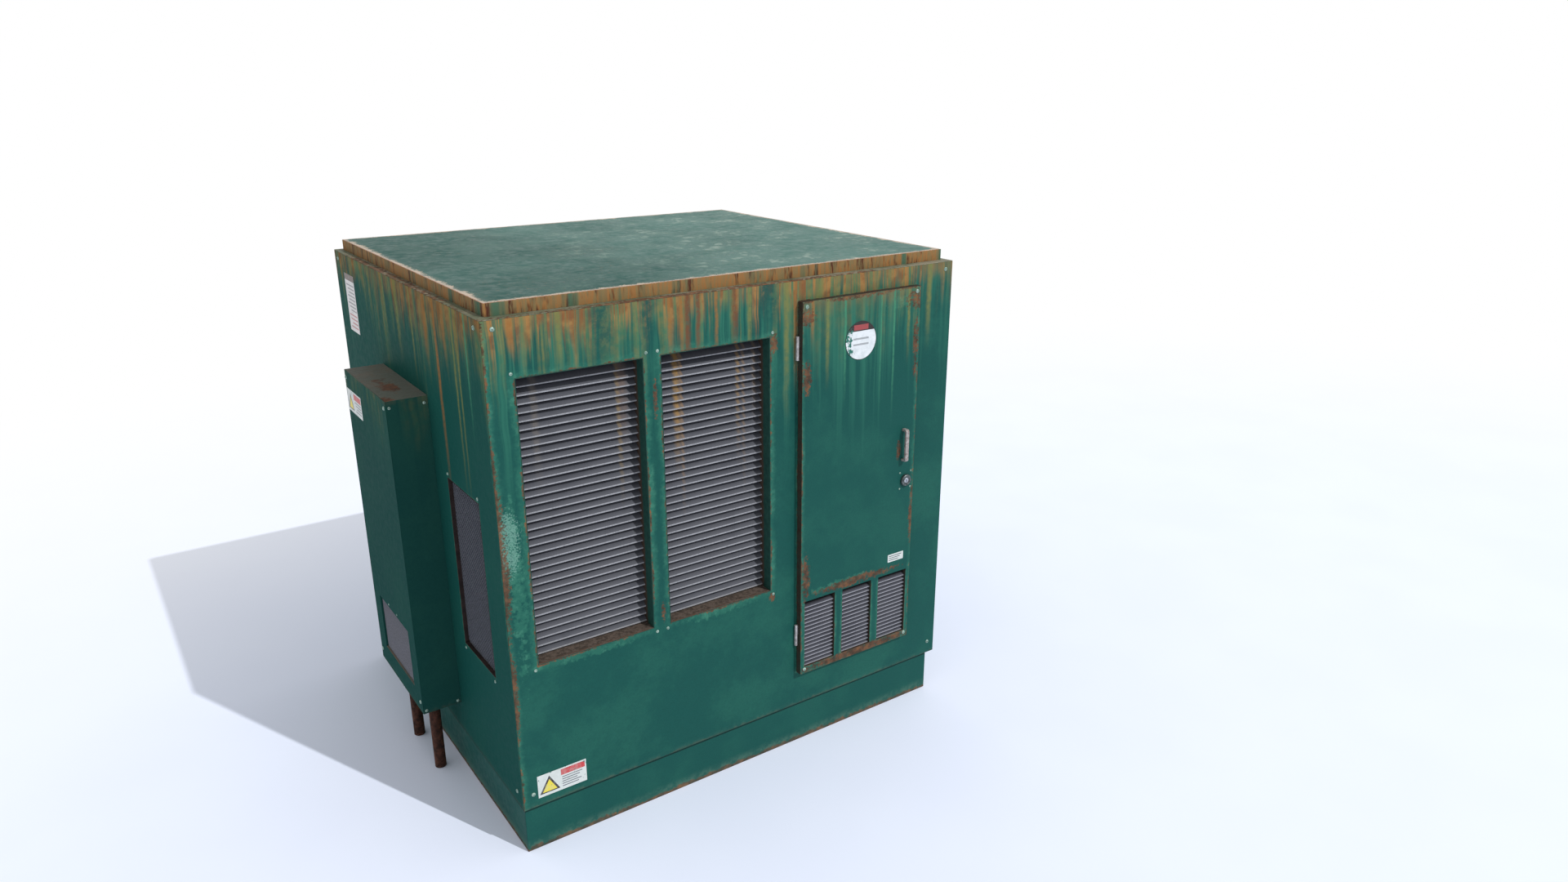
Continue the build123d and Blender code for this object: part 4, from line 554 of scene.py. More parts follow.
FASTENERS, t, i = geometry_tree("Fasteners", {
    "Fastener": ("NodeSocketObject", None), "Seed": ("NodeSocketInt", 1), "Material": ("NodeSocketMaterial", None)})
outward = t.put("GeometryNodeInputNamedAttribute", {"Name": "outward"}, data_type="FLOAT_VECTOR")
size = t.put("GeometryNodeInputNamedAttribute", {"Name": "size"}, data_type="FLOAT")
aimed = t.put("FunctionNodeAlignRotationToVector", {"Vector": outward.outputs[0]}, axis="Z")
spin = t.put("FunctionNodeRandomValue", {2: 0.0, 3: 2 * math.pi, 8: i["Seed"]}, data_type="FLOAT")
spun = t.put("FunctionNodeRotateRotation", {
    0: aimed.outputs[0], 1: t.put("FunctionNodeEulerToRotation", {0: t.combine(0.0, 0.0, spin.outputs[1])}).outputs[0]},
    rotation_space="LOCAL")
info = t.put("GeometryNodeObjectInfo", {"Object": i["Fastener"]})
copies = t.put("GeometryNodeInstanceOnPoints", {
    "Points": i["Geometry"], "Instance": info.outputs["Geometry"], "Rotation": spun.outputs[0], "Scale": size.outputs[0]})
close_tree(t, copies.outputs[0], i["Material"])

WEAVE, t, i = geometry_tree("Diagonal Mesh", {
    "Width": ("NodeSocketFloat", 0.3), "Height": ("NodeSocketFloat", 0.7), "Pitch": ("NodeSocketFloat", 0.009),
    "Layer Gap": ("NodeSocketFloat", 0.0008), "Material": ("NodeSocketMaterial", None)})
diagonal = t.times(i["Pitch"], math.sqrt(2))
total = t.add(i["Width"], i["Height"])
count = t.put("FunctionNodeFloatToInt", {0: t.over(total, diagonal)}, rounding_mode="FLOOR").outputs[0]
line = t.put("GeometryNodeMeshLine", {"Count": count})
offset = t.times(t.add(t.put("GeometryNodeInputIndex").outputs[0], 0.5), diagonal)
joined = t.put("GeometryNodeJoinGeometry")
for sign in (1, -1):
    if sign == 1:
        c = t.less(offset, i["Height"])
        u, v = t.most(c, 0.0), t.most(t.times(c, -1.0), 0.0)
        reach = t.least(t.less(i["Width"], u), t.less(i["Height"], v))
    else:
        u, v = t.most(t.less(offset, i["Height"]), 0.0), t.least(offset, i["Height"])
        reach = t.least(t.less(i["Width"], u), v)
    depth = t.times(i["Layer Gap"], 0.5 * sign)
    points = t.put("GeometryNodeSetPosition", {"Geometry": line.outputs[0], "Position": t.combine(u, v, depth)})
    turn = t.put("FunctionNodeEulerToRotation", {0: (0, 0, sign * math.pi / 4)}).outputs[0]
    wires = t.put("GeometryNodeInstanceOnPoints", {
        "Points": points.outputs[0], "Instance": i["Geometry"], "Rotation": turn,
        "Scale": t.combine(t.times(reach, math.sqrt(2)), 1.0, 1.0)})
    t.tree.links.new(wires.outputs[0], joined.inputs[0])
close_tree(t, joined.outputs[0], i["Material"])


def grown(name, tree, mesh, settings):
    """Runs a Geometry Nodes tree on a mesh and keeps the result as one mesh."""
    obj = add_object(name, mesh)
    modifier = obj.modifiers.new("Nodes", "NODES")
    modifier.node_group = tree
    keys = {s.name: s.identifier for s in tree.interface.items_tree if s.in_out == "INPUT"}
    for label, value in settings.items():
        modifier[keys[label]] = value
    return baked(obj)


def joined_pieces(name, objects):
    """Several built objects as one."""
    bm = bmesh.new()
    for obj in objects:
        bm.from_mesh(obj.data)
        bpy.data.objects.remove(obj)
    return add_object(name, mesh_from(bm, name))


def screw_mesh():
    """A button head of radius 1 with a hexagon socket, standing on z = 0."""
    bm = bmesh.new()
    dome = [ring(bm, radius, height, 24) for radius, height in (
        (1.0, 0.0), (1.0, 0.08), (0.94, 0.24), (0.78, 0.42), (0.55, 0.54), (0.42, 0.56))]
    socket = [ring(bm, 0.36, height, 6) for height in (0.55, 0.22)]
    skin(bm, dome)
    skin(bm, socket)
    for k in range(6):
        bm.faces.new([dome[-1][(4 * k + j) % 24] for j in range(5)] + [socket[0][(k + 1) % 6], socket[0][k]])
    bm.faces.new(socket[1])
    bmesh.ops.recalc_face_normals(bm, faces=bm.faces)
    mesh = mesh_from(bm, "screw")
    mesh.shade_smooth()
    mesh.set_sharp_from_angle(angle=math.radians(38))
    return mesh


SCREW = add_object("screw_pattern", screw_mesh())


def screw_set(name, node, body, look):
    """Button heads wherever the CAD node has a screw, each facing out of its face."""
    mesh = bpy.data.meshes.new(name)
    places, ways, sizes = [], [], []
    for low, high, mean in islands(node):
        spans = [high[k] - low[k] for k in range(3)]
        axis = max(range(3), key=lambda k: abs(spans[k] - sorted(spans)[1]))
        middle = (low + high) / 2
        sign = 1 if mean[axis] > middle[axis] else -1
        radius = max(spans[k] for k in range(3) if k != axis) / 2
        head = {8: 5, 6: 4, 4: 3}[int(radius / MM)] * MM
        tip = high[axis] if sign > 0 else low[axis]
        place = middle.copy()
        place[axis] = tip - sign * head
        way = Vector((0, 0, 0))
        way[axis] = sign
        places.append(place)
        ways.append(way)
        sizes.append(radius)
    mesh.from_pydata(places, [], [])
    mesh.attributes.new("outward", "FLOAT_VECTOR", "POINT").data.foreach_set("vector", [c for w in ways for c in w])
    mesh.attributes.new("size", "FLOAT", "POINT").data.foreach_set("value", sizes)
    obj = grown(name, FASTENERS, mesh, {"Fastener": SCREW, "Seed": 3, "Material": look})
    return placed(obj, [node], body, look)


def grid_panel(name, node, axis, openings, look):
    """A sheet panel with rectangular openings, cut along straight lines, in place of its CAD node."""
    low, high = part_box(node)
    u, v = [k for k in range(3) if k != axis]
    cuts = [sorted({low[k], high[k], *(c for o in openings for c in (o[0][k], o[1][k])
                                       if low[k] + MM < c < high[k] - MM)}) for k in (u, v)]
    bm = bmesh.new()
    vertex = {}

    def corner(a, b, side):
        key = (round(a, 5), round(b, 5), side)
        if key not in vertex:
            place = [0, 0, 0]
            place[u], place[v], place[axis] = a, b, (low if side == 0 else high)[axis]
            vertex[key] = bm.verts.new(place)
        return vertex[key]

    edges = {}
    for a0, a1 in zip(cuts[0], cuts[0][1:]):
        for b0, b1 in zip(cuts[1], cuts[1][1:]):
            middle = ((a0 + a1) / 2, (b0 + b1) / 2)
            if any(o[0][u] < middle[0] < o[1][u] and o[0][v] < middle[1] < o[1][v] for o in openings):
                continue
            loop = [(a0, b0), (a1, b0), (a1, b1), (a0, b1)]
            for side in (0, 1):
                bm.faces.new([corner(a, b, side) for a, b in (loop if side else loop[::-1])])
            for p, q in zip(loop, loop[1:] + loop[:1]):
                key = frozenset((p, q))
                edges[key] = None if key in edges else (p, q)
    for pair in edges.values():
        if pair:
            p, q = pair
            bm.faces.new((corner(*p, 0), corner(*q, 0), corner(*q, 1), corner(*p, 1)))
    bmesh.ops.recalc_face_normals(bm, faces=bm.faces)
    obj = rounded(add_object(name, mesh_from(bm, name)), 1.5 * MM)
    return placed(obj, [node], "root", look)


# ---- Places taken from the CAD frame ------------------------------------------------------------------

BODY_LOW, BODY_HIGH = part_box("front_panel")
LEFT, RIGHT, FRONT = BODY_LOW.x, BODY_HIGH.x, BODY_LOW.y
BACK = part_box("rear_panel")[1].y
DECK_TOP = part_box("roof_deck")[1].z
PLINTH_TOP = BODY_LOW.z


def opening(node, shrink=0.026):
    """The opening that a flanged liner leaves, as (low, high) corners."""
    low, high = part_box(node)
    step = Vector((shrink, shrink, shrink))
    return low + step, high - step


LOUVRES = [opening("louvre_frame_left"), opening("louvre_frame_right")]
VENT = opening("vent_frame")
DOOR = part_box("door_skin")
GASKET = opening("door_gasket", 0.012)
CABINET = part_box("side_cabinet_shell")
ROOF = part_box("roof_cap")
HOLE_EDGE = 0.006  # edges of screw holes are shorter than this

# ---- Looks ------------------------------------------------------------------------------------------------

louvre_borders = [(o[0].x, o[1].x, o[0].z, o[1].z, 0.06, 0.022) for o in LOUVRES]
front_look = painted(
    "front_paint", ACROSS_X, DECK_TOP, mottle=0.34, seed=1.0, wash=0.85, quiet=(0.82, 0.92, 0.45),
    stain=(0.85, 0.5, 34.0), rust_run=(1.0, 0.28, 46.0), pale_run=(0.95, 0.9, 38.0),
    borders=louvre_borders + [
        (LEFT, RIGHT + 1, PLINTH_TOP - 1, DECK_TOP + 1, 0.05, 0.026),
        (DOOR[0].x, DOOR[1].x, DOOR[0].z, DOOR[1].z, 0.02, 0.005)],
    patches=[("faded", (-0.7, FRONT, 0.77), (0.3, 1, 0.035), 42.0), ("faded", (-0.15, FRONT, 0.77), (0.3, 1, 0.035), 38.0),
             ("chips", (LEFT + 0.03, FRONT, 1.3), (0.08, 1, 0.22), 170.0), ("rust", (LEFT, FRONT, 1.25), (0.05, 1, 0.6), 110.0),
             ("faded", (LEFT + 0.05, FRONT, 1.12), (0.06, 1, 0.6), 60.0), ("rust", (LEFT, FRONT, 0.7), (0.035, 1, 0.35), 140.0),
             ("rust", (-0.42, FRONT, 1.72), (0.022, 1, 0.14), 80.0), ("rust", (-0.42, FRONT, 0.85), (0.022, 1, 0.08), 80.0),
             ("rust", (0.11, FRONT, 1.86), (0.04, 1, 0.08), 80.0), ("rust", (0.1, FRONT, 0.76), (0.03, 1, 0.05), 80.0)],
    drips=[("red", -0.275, 0.02, 0.42), ("orange", -0.3, 0.012, 0.3), ("olive", 0.0, 0.014, 0.3),
           ("olive", 0.17, 0.02, 0.62), ("orange", 0.215, 0.014, 0.5), ("olive", 0.33, 0.03, 0.2),
           ("olive", -0.78, 0.02, 0.25), ("dark", -0.62, 0.07, 0.3), ("dark", -0.44, 0.05, 0.28),
           ("orange", -0.35, 0.014, 0.28), ("red", -0.23, 0.016, 0.33), ("orange", -0.15, 0.012, 0.3),
           ("red", -0.07, 0.02, 0.26), ("orange", -0.95, 0.02, 0.16), ("dark", 0.10, 0.05, 0.26),
           ("dark", 0.06, 0.03, 0.22), ("olive", 0.92, 0.02, 0.4)],
    foot=(PLINTH_TOP, 0.03, 0.16))
side_look = painted(
    "side_paint", ACROSS_Y, DECK_TOP, mottle=0.2, seed=4.0, base=tone(24, 75, 69), fresh=tone(36, 88, 76), specular=0.01,
    stain=(0.75, 0.55, 17.0), rust_run=(0.8, 0.3, 15.0), pale_run=(0.6, 0.8, 22.0), wash=0.5,
    borders=[(FRONT, BACK + 1, PLINTH_TOP - 1, DECK_TOP + 1, 0.04, 0.02),
             (VENT[0].y, VENT[1].y, VENT[0].z, VENT[1].z, 0.02, 0.006)],
    drips=[("orange", -0.447, 0.022, 0.85), ("olive", -0.636, 0.014, 0.78), ("olive", -0.677, 0.012, 0.8),
           ("orange", -0.331, 0.03, 0.3), ("olive", -0.166, 0.016, 0.42), ("olive", 0.015, 0.03, 0.36),
           ("olive", 0.18, 0.014, 0.3), ("orange", -0.545, 0.02, 0.25), ("pale", -0.77, 0.012, 0.5)],
    foot=(PLINTH_TOP, 0.04, 0.12))
plain_side_look = painted(
    "rear_paint", ROUND_THE_CORNER, DECK_TOP, mottle=0.35, seed=9.0, wash=0.7,
    stain=(0.7, 0.5, 18.0), rust_run=(0.8, 0.26, 18.0), pale_run=(0.6, 0.8, 22.0),
    borders=[(-1.39, 1.39, PLINTH_TOP, DECK_TOP, 0.08, 0.02)], foot=(PLINTH_TOP, 0.07, 0.2))
deck_look = painted(
    "deck_paint", ACROSS_X, DECK_TOP + 1, mottle=0.9, seed=2.0, base=tone(98, 104, 84), fresh=tone(142, 136, 118),
    patches=[("rust", (-0.2, FRONT, DECK_TOP), (1.6, 0.06, 0.1), 70.0), ("rust", (LEFT, 0, DECK_TOP), (0.06, 1.4, 0.1), 60.0)])
# The plinth gets a painted shadow line under the body's bottom edge.
plinth_look = painted(
    "plinth_paint", ROUND_THE_CORNER, PLINTH_TOP, mottle=0.2, seed=6.0, foot=(0.0, 0.06, 0.7), painted_shadow_line=True)


def liner_surface(name):
    """Paint of a recessed liner: dark green walls and a sill of brown-grey rust."""
    made, t, shader, position = material(name)
    up = t.upward()
    sill = t.smooth(up, 0.4, 0.7)
    fleck = t.noise(position, 60.0, 4.0, 0.65)
    depth = t.smooth(t.split(position)[1], FRONT, FRONT + 0.02, 1.0, 0.0)
    wall = t.mix(t.smooth(fleck, 0.35, 0.7), tone(26, 64, 58), tone(40, 80, 70))
    brown = t.mix(t.smooth(fleck, 0.35, 0.65), tone(98, 86, 78), tone(66, 58, 52))
    edge = t.mix(t.times(depth, t.smooth(fleck, 0.4, 0.7, 0.0, 0.7)), brown, tone(116, 84, 64))
    deep = t.smooth(t.blend(fleck, 0.02, t.split(position)[1]), FRONT + 0.052, FRONT + 0.062)
    colour = t.mix(sill, t.mix(t.times(deep, 0.8), wall, tone(74, 52, 44)), edge)
    finish_surface(t, shader, 0.15, colour, t.smooth(fleck, 0.3, 0.7, 0.6, 0.85),
                   use(t, RELIEF, {"Position": position, "Rust": t.times(sill, 0.6), "Waviness": 0.0})[0])
    return made


liner_look = liner_surface("louvre_liner")
vent_liner_look = plain("vent_liner", (56, 44, 42), (36, 30, 30), 24.0, (0.6, 0.8), specular=0.15, rust=0.12)

door_x, door_z = (DOOR[0].x, DOOR[1].x), (DOOR[0].z, DOOR[1].z)
door_banks = sorted({(round(low.x, 4), round(high.x, 4)) for low, high, _ in islands("door_blades")})
bank_low, bank_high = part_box("door_blades")
door_look = painted(
    "door_paint", ACROSS_X, door_z[1], mottle=0.26, seed=3.0, wash=0.3,
    stain=(0.4, 0.42, 26.0), rust_run=(0.25, 0.14, 30.0), pale_run=(0.9, 0.9, 34.0),
    borders=[(door_x[0], door_x[1], door_z[0], door_z[1], 0.04, 0.022)] +
            [(a, b, bank_low.z, bank_high.z, 0.03, 0.009) for a, b in door_banks],
    patches=[("rust", (0.52, DOOR[0].y, 0.73), (0.4, 1, 0.04), 80.0), ("faded", (0.45, DOOR[0].y, 0.74), (0.34, 1, 0.035), 40.0),
             ("rust", (0.25, DOOR[0].y, 0.8), (0.04, 1, 0.2), 80.0),
             ("rust", (0.75, DOOR[0].y, 1.3), (0.025, 1, 0.1), 90.0), ("rust", (0.835, DOOR[0].y, 1.0), (0.022, 1, 0.3), 90.0),
             ("rust", (0.25, DOOR[0].y, 1.95), (0.07, 1, 0.07), 90.0), ("rust", (0.82, DOOR[0].y, 1.95), (0.1, 1, 0.08), 90.0),
             ("rust", (0.825, DOOR[0].y, 1.75), (0.03, 1, 0.25), 90.0), ("rust", (0.55, DOOR[0].y, 2.0), (0.35, 1, 0.02), 90.0),
             ("rust", (0.25, DOOR[0].y, 1.7), (0.04, 1, 0.15), 90.0), ("faded", (0.72, DOOR[0].y, 1.95), (0.14, 1, 0.06), 60.0),
             ("rust", (0.535, DOOR[0].y, 0.37), (0.6, 1, 0.05), 90.0), ("rust", (0.535, DOOR[0].y, 0.37), (0.5, 1, 0.04), 30.0)],
    drips=[("olive", 0.35, 0.014, 0.4), ("orange", 0.275, 0.012, 0.2), ("pale", 0.7, 0.008, 0.62),
           ("pale", 0.63, 0.006, 0.55), ("pale", 0.44, 0.01, 0.5), ("olive", 0.78, 0.012, 0.35)])
door_edge_look = plain("door_edge", (52, 58, 50), (58, 44, 36), 22.0, (0.6, 0.8), specular=0.15, rust=0.08)
door_inner_look = plain("door_inner_paint", (44, 92, 84), (36, 80, 74), 6.0, (0.5, 0.65), specular=0.1, rust=0.03)
cabinet_look = painted(
    "cabinet_paint", ROUND_THE_CORNER, CABINET[1].z, base=tone(28, 71, 66), fresh=tone(38, 82, 72), mottle=0.3, seed=5.0,
    specular=0.005, stain=(0.3, 0.3, 14.0), rust_run=(0.12, 0.05, 20.0), pale_run=(0.35, 0.6, 20.0),
    foot=(CABINET[0].z, 0.04, 0.1))
cabinet_top_look = painted(
    "cabinet_top", ACROSS_Y, 3.0, base=tone(98, 100, 92), fresh=tone(118, 104, 92), mottle=0.9, seed=8.0, specular=0.1,
    patches=[("rust", (-1.14, -0.05, CABINET[1].z), (0.07, 0.24, 0.1), 24.0),
             ("rust", (CABINET[0].x, CABINET[0].y, CABINET[1].z), (0.06, 0.12, 0.1), 50.0)])


def roof_surface(name):
    """The roof: grey-green paint with a painted sheen that grows lighter towards +X, pale scuffs, worn pinkish edges
    and a fascia of rust.
    """
    made, t, shader, position = material(name)
    x, y, z = t.split(position)
    up = t.smooth(t.upward(), 0.3, 0.9)
    edge = t.math("MINIMUM",
                  t.least(t.less(x, ROOF[0].x), t.less(ROOF[1].x, x)),
                  t.least(t.less(y, ROOF[0].y), t.less(ROOF[1].y, y)))
    cloud = t.noise(position, 1.6, 3.0)
    scuff = t.noise(position, 26.0, 4.0, 0.6)
    grain = t.noise(position, 190.0, 3.0, 0.6)
    # Painted sheen: the top grows lighter towards +X, as a reflection of the sky would make it, with cloudy patches.
    light = t.blend(x, 0.28, cloud)
    top = t.mix(t.smooth(light, 0.2, 0.85), tone(12, 74, 66), tone(72, 114, 106))
    pale = t.times(t.smooth(scuff, 0.46, 0.66), t.smooth(t.noise(position, 5.5, 3.0), 0.42, 0.62))
    top = t.mix(t.times(pale, t.smooth(x, -1.1, 0.9, 0.15, 0.9)), top, tone(146, 164, 154))
    brown = t.times(t.smooth(t.noise(position, 60.0, 4.0, 0.65), 0.58, 0.7),
                   t.smooth(t.noise(position, 3.5, 2.0), 0.48, 0.62))
    top = t.mix(t.times(brown, 0.6), top, tone(120, 104, 84))
    worn = t.smooth(t.add(t.times(edge, -16.0), t.blend(scuff, 1.1, grain)), 0.62, 0.9)
    top = t.mix(t.times(worn, 0.9), top, PINK_EDGE)
    lip = t.smooth(t.add(t.times(edge, -60.0), t.times(grain, 1.1)), 0.2, 0.5)
    top = t.mix(lip, top, tone(140, 96, 72))
    drift = t.add(x, y)
    column = t.noise(t.combine(t.times(drift, 24.0), t.times(z, 5.0), 2.0), 1.0, 3.0, 0.65)
    hair = t.noise(t.combine(t.times(drift, 95.0), t.times(z, 14.0), 7.0), 1.0, 3.0, 0.6)
    rust = t.mix(t.smooth(column, 0.38, 0.5), tone(78, 44, 32), tone(144, 104, 62))
    rust = t.mix(t.smooth(hair, 0.42, 0.62, 0.0, 0.8), rust, tone(122, 108, 74))
    fascia = t.mix(t.smooth(t.noise(t.combine(t.times(drift, 9.0), 4.0, 1.0), 1.0, 3.0, 0.7), 0.5, 0.64),
                   rust, tone(70, 98, 78))
    colour = t.mix(up, fascia, top)
    rough = t.mix(up, (0.8, 0.8, 0.8, 1), t.smooth(scuff, 0.3, 0.7, 0.34, 0.55))
    finish_surface(t, shader, 0.14, colour, rough, use(t, RELIEF, {
        "Position": position, "Rust": t.most(t.less(1.0, up), t.times(worn, 0.5)),
        "Strength": 0.5})[0])
    return made


roof_look = roof_surface("roof_paint")


def blade_surface(name, node, drips, light, dark, lip):
    """Grey louvre paint: a painted highlight on the lip, painted shade that darkens to the top of each blade under the
    blade above, and thin rust runs.
    """
    made, t, shader, position = material(name)
    x, y, z = t.split(position)
    bottoms = sorted({round(low.z, 4) for low, _, _ in islands(node)})
    pitch = (bottoms[-1] - bottoms[0]) / (len(bottoms) - 1)
    climb = t.math("FRACT", t.over(t.less(z, bottoms[0] - 0.0002), pitch))
    fine = t.noise(t.combine(t.times(x, 160.0), t.times(z, 16.0), y), 1.0, 3.0)
    cloud = t.noise(position, 7.0, 3.0)
    # Painted shade: each blade grows darker towards its top, where the blade above shades it.
    colour = t.mix(t.smooth(t.blend(fine, 0.2, climb), 0.1, 1.1), light, dark)
    colour = t.mix(t.smooth(cloud, 0.5, 0.75, 0.0, 0.3), colour, dark)
    # Painted shadow: a near-black band at the top of each pitch, in the gap under the lip above.
    colour = t.mix(t.smooth(climb, 0.78, 0.9), colour, tone(18, 18, 22))
    for centre, width, top, length, shade in drips:
        mask = use(t, DRIP, {"Position": position, "Across": ACROSS_X, "Centre": centre, "Width": width,
                             "Top": top, "Length": length})[0]
        colour = t.mix(t.times(mask, 0.8), colour, shade)
    # Painted highlight: the front of each lip is painted brighter.
    front = t.smooth(y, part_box(node)[0].y + 0.0008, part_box(node)[0].y + 0.0016, 1.0, 0.0)
    colour = t.mix(t.times(front, t.smooth(fine, 0.25, 0.6, 0.6, 1.0)), colour, lip)
    finish_surface(t, shader, 0.15, colour, t.smooth(cloud, 0.3, 0.7, 0.5, 0.65), t.bump(fine, 0.3, 0.0005))
    return made


top_z = LOUVRES[0][1].z
louvre_runs = [
    (-0.292, 0.02, top_z, 0.55, tone(158, 124, 70)), (-0.272, 0.01, top_z, 0.75, tone(136, 112, 88)),
    (-0.536, 0.012, top_z, 0.62, tone(132, 114, 82)), (-0.52, 0.03, top_z, 0.4, tone(112, 98, 92)),
    (-0.016, 0.012, top_z, 0.55, tone(130, 108, 80)), (0.01, 0.01, top_z, 0.7, tone(120, 104, 90)),
    (-0.86, 0.02, top_z, 0.5, tone(104, 100, 98)), (0.06, 0.012, top_z, 0.4, tone(112, 100, 90))]
# The colours are the blade paint, the painted shade at the top of each blade, and the painted highlight on the lip.
blade_look = blade_surface("louvre_paint", "louvre_blades_left", louvre_runs, tone(89, 91, 98), tone(56, 58, 66),
                           tone(150, 152, 158))
door_blade_look = blade_surface("door_louvre_paint", "door_blades", [], tone(80, 82, 92), tone(12, 14, 20),
                                tone(140, 142, 150))
mesh_look = plain("mesh_paint", (118, 122, 132), (98, 101, 110), 160.0, (0.5, 0.65), specular=0.05)
grille_look = plain("grille_paint", (134, 136, 144), (112, 113, 122), 160.0, (0.5, 0.65), specular=0.1)
steel_look = plain("galvanised", (150, 153, 156), (112, 116, 120), 22.0, (0.35, 0.55), metallic=0.8)
screw_look = plain("screw_paint", (168, 190, 180), (96, 128, 116), 160.0, (0.35, 0.55), metallic=0.2, rust=0.02)
hinge_look = plain("hinge_steel", (190, 188, 190), (140, 136, 136), 60.0, (0.3, 0.45), metallic=0.35)
handle_look = plain("handle_steel", (176, 172, 170), (126, 112, 108), 70.0, (0.32, 0.5), metallic=0.3, rust=0.04)
chrome_look = plain("lock_chrome", (206, 210, 214), (130, 134, 140), 50.0, (0.12, 0.24), metallic=1.0)
# Dark grey lock metal, darkened further as painted shade to stand in for the shadow ring round the lock.
rosette_and_shade_look = plain("lock_rosette", (104, 110, 110), (58, 64, 64), 70.0, (0.3, 0.45), metallic=0.7)
conduit_look = plain("conduit_rust", (92, 58, 46), (48, 34, 30), 45.0, (0.7, 0.9), specular=0.2, rust=0.14)
cable_look = plain("cable_sheath", (34, 34, 36), (22, 22, 24), 30.0, (0.5, 0.65))
terminal_look = plain("terminal_plastic", (214, 208, 190), (188, 180, 160), 26.0, (0.4, 0.55))
gasket_look = plain("gasket_rubber", (34, 36, 36), (22, 24, 24), 60.0, (0.75, 0.9), specular=0.2)
breaker_look = plain("breaker_plastic", (74, 76, 80), (58, 60, 64), 24.0, (0.4, 0.55))
toggle_look = plain("toggle_plastic", (40, 40, 42), (28, 28, 30), 40.0, (0.35, 0.5))
copper_look = plain("copper", (196, 128, 92), (130, 82, 60), 18.0, (0.3, 0.5), metallic=0.9)
insulator_look = plain("insulator_red", (150, 40, 32), (116, 30, 26), 30.0, (0.3, 0.45))
bushing_look = plain("bushing_glaze", (128, 66, 44), (92, 46, 32), 14.0, (0.12, 0.25), coat=0.4)
core_look = plain("core_laminations", (96, 100, 106), (58, 62, 68), 3.0, (0.45, 0.6), metallic=0.5, stretch=(260, 1, 1))
resin_look = plain("cast_resin", (150, 68, 44), (118, 50, 34), 9.0, (0.25, 0.4), coat=0.25)
foil_look = plain("winding_foil", (186, 186, 184), (140, 140, 140), 4.0, (0.35, 0.5), metallic=0.8, stretch=(1, 1, 40))
board_look = plain("pressboard", (176, 148, 100), (148, 120, 78), 26.0, (0.7, 0.85))


RED_INK, YELLOW_INK, GREY_INK, DARK_INK = tone(186, 62, 66), tone(216, 200, 66), tone(120, 122, 128), tone(52, 44, 46)


EDGE_BLUR = 0.0004


def sign_surface(name, across, marks, backing=tone(200, 206, 204), wear=0.5, triangle=None):
    """A printed plate. Marks are (left, right, bottom, top, colour) in the plate's own face, and a
    triangle is (centre, half width, bottom, top)."""
    made, t, shader, position = material(name)
    u, z = t.dot(position, across), t.split(position)[2]
    colour = backing
    for left, right, bottom, top, ink in marks:
        sides = t.within(t.less(u, (left + right) / 2), (right - left) / 2, EDGE_BLUR)
        ends = t.within(t.less(z, (bottom + top) / 2), (top - bottom) / 2, EDGE_BLUR)
        colour = t.mix(t.times(sides, ends), colour, ink)
    if triangle:
        middle, half, bottom, top = triangle
        beside = t.size(t.less(u, middle))
        slope = t.add(t.times(beside, (top - bottom) / half), t.less(z, bottom))
        for inset, ink in ((0.0, DARK_INK), (0.008, YELLOW_INK)):
            peak, base = top - bottom - inset * 2, bottom + inset * 0.6
            inside = t.times(t.smooth(slope, peak - 0.001, peak, 1.0, 0.0), t.smooth(z, base - 0.0005, base))
            colour = t.mix(inside, colour, ink)
    fade = t.noise(position, 34.0, 5.0, 0.7)
    colour = t.mix(t.smooth(fade, 0.45, 0.7, 0.0, 0.35), colour, tone(176, 186, 182))
    peeled = t.smooth(t.noise(position, 60.0, 5.0, 0.7), 0.66 - 0.08 * wear, 0.7 - 0.08 * wear)
    colour = t.mix(peeled, colour, tone(60, 108, 98))
    finish_surface(t, shader, 0.3, colour, t.smooth(fade, 0.3, 0.7, 0.3, 0.5),
                   t.bump(t.less(1.0, peeled), 0.4, 0.0005))
    return made


def rules(left, right, high, low, rows, ink=GREY_INK):
    """Rows of plain bars in place of lettering, with ragged right ends."""
    pitch = (high - low) / rows
    return [(left, right - (right - left) * (0.08 + 0.3 * ((row * 7) % 5) / 5), high - (row + 0.68) * pitch,
             high - (row + 0.3) * pitch, ink) for row in range(rows)]


low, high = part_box("front_label")
front_label_look = sign_surface("front_label_print", ACROSS_X, [
    (low.x + 0.096, high.x - 0.006, high.z - 0.032, high.z - 0.006, RED_INK),
    *rules(low.x + 0.1, high.x - 0.01, high.z - 0.036, low.z + 0.01, 5, tone(96, 98, 108))],
    triangle=(low.x + 0.048, 0.042, low.z + 0.012, high.z - 0.012))
low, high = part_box("side_label")
side_label_look = sign_surface("side_label_print", ACROSS_Y, [
    (low.y, high.y, high.z - 0.028, high.z, tone(92, 74, 70)),
    *rules(low.y + 0.012, high.y - 0.008, high.z - 0.04, low.z + 0.09, 8, tone(132, 130, 134)),
    *rules(low.y + 0.012, high.y - 0.008, low.z + 0.085, low.z + 0.012, 4, tone(176, 110, 112))],
    backing=tone(206, 204, 204), wear=0.4)
low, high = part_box("cabinet_label")
cabinet_label_look = sign_surface("cabinet_label_print", ACROSS_Y, [
    (low.y + 0.006, high.y - 0.096, high.z - 0.032, high.z - 0.006, RED_INK),
    *rules(low.y + 0.01, high.y - 0.1, high.z - 0.036, low.z + 0.01, 4)],
    wear=0.3, triangle=(high.y - 0.046, 0.04, low.z + 0.012, high.z - 0.012))

# ---- Housing ---------------------------------------------------------------------------------------------

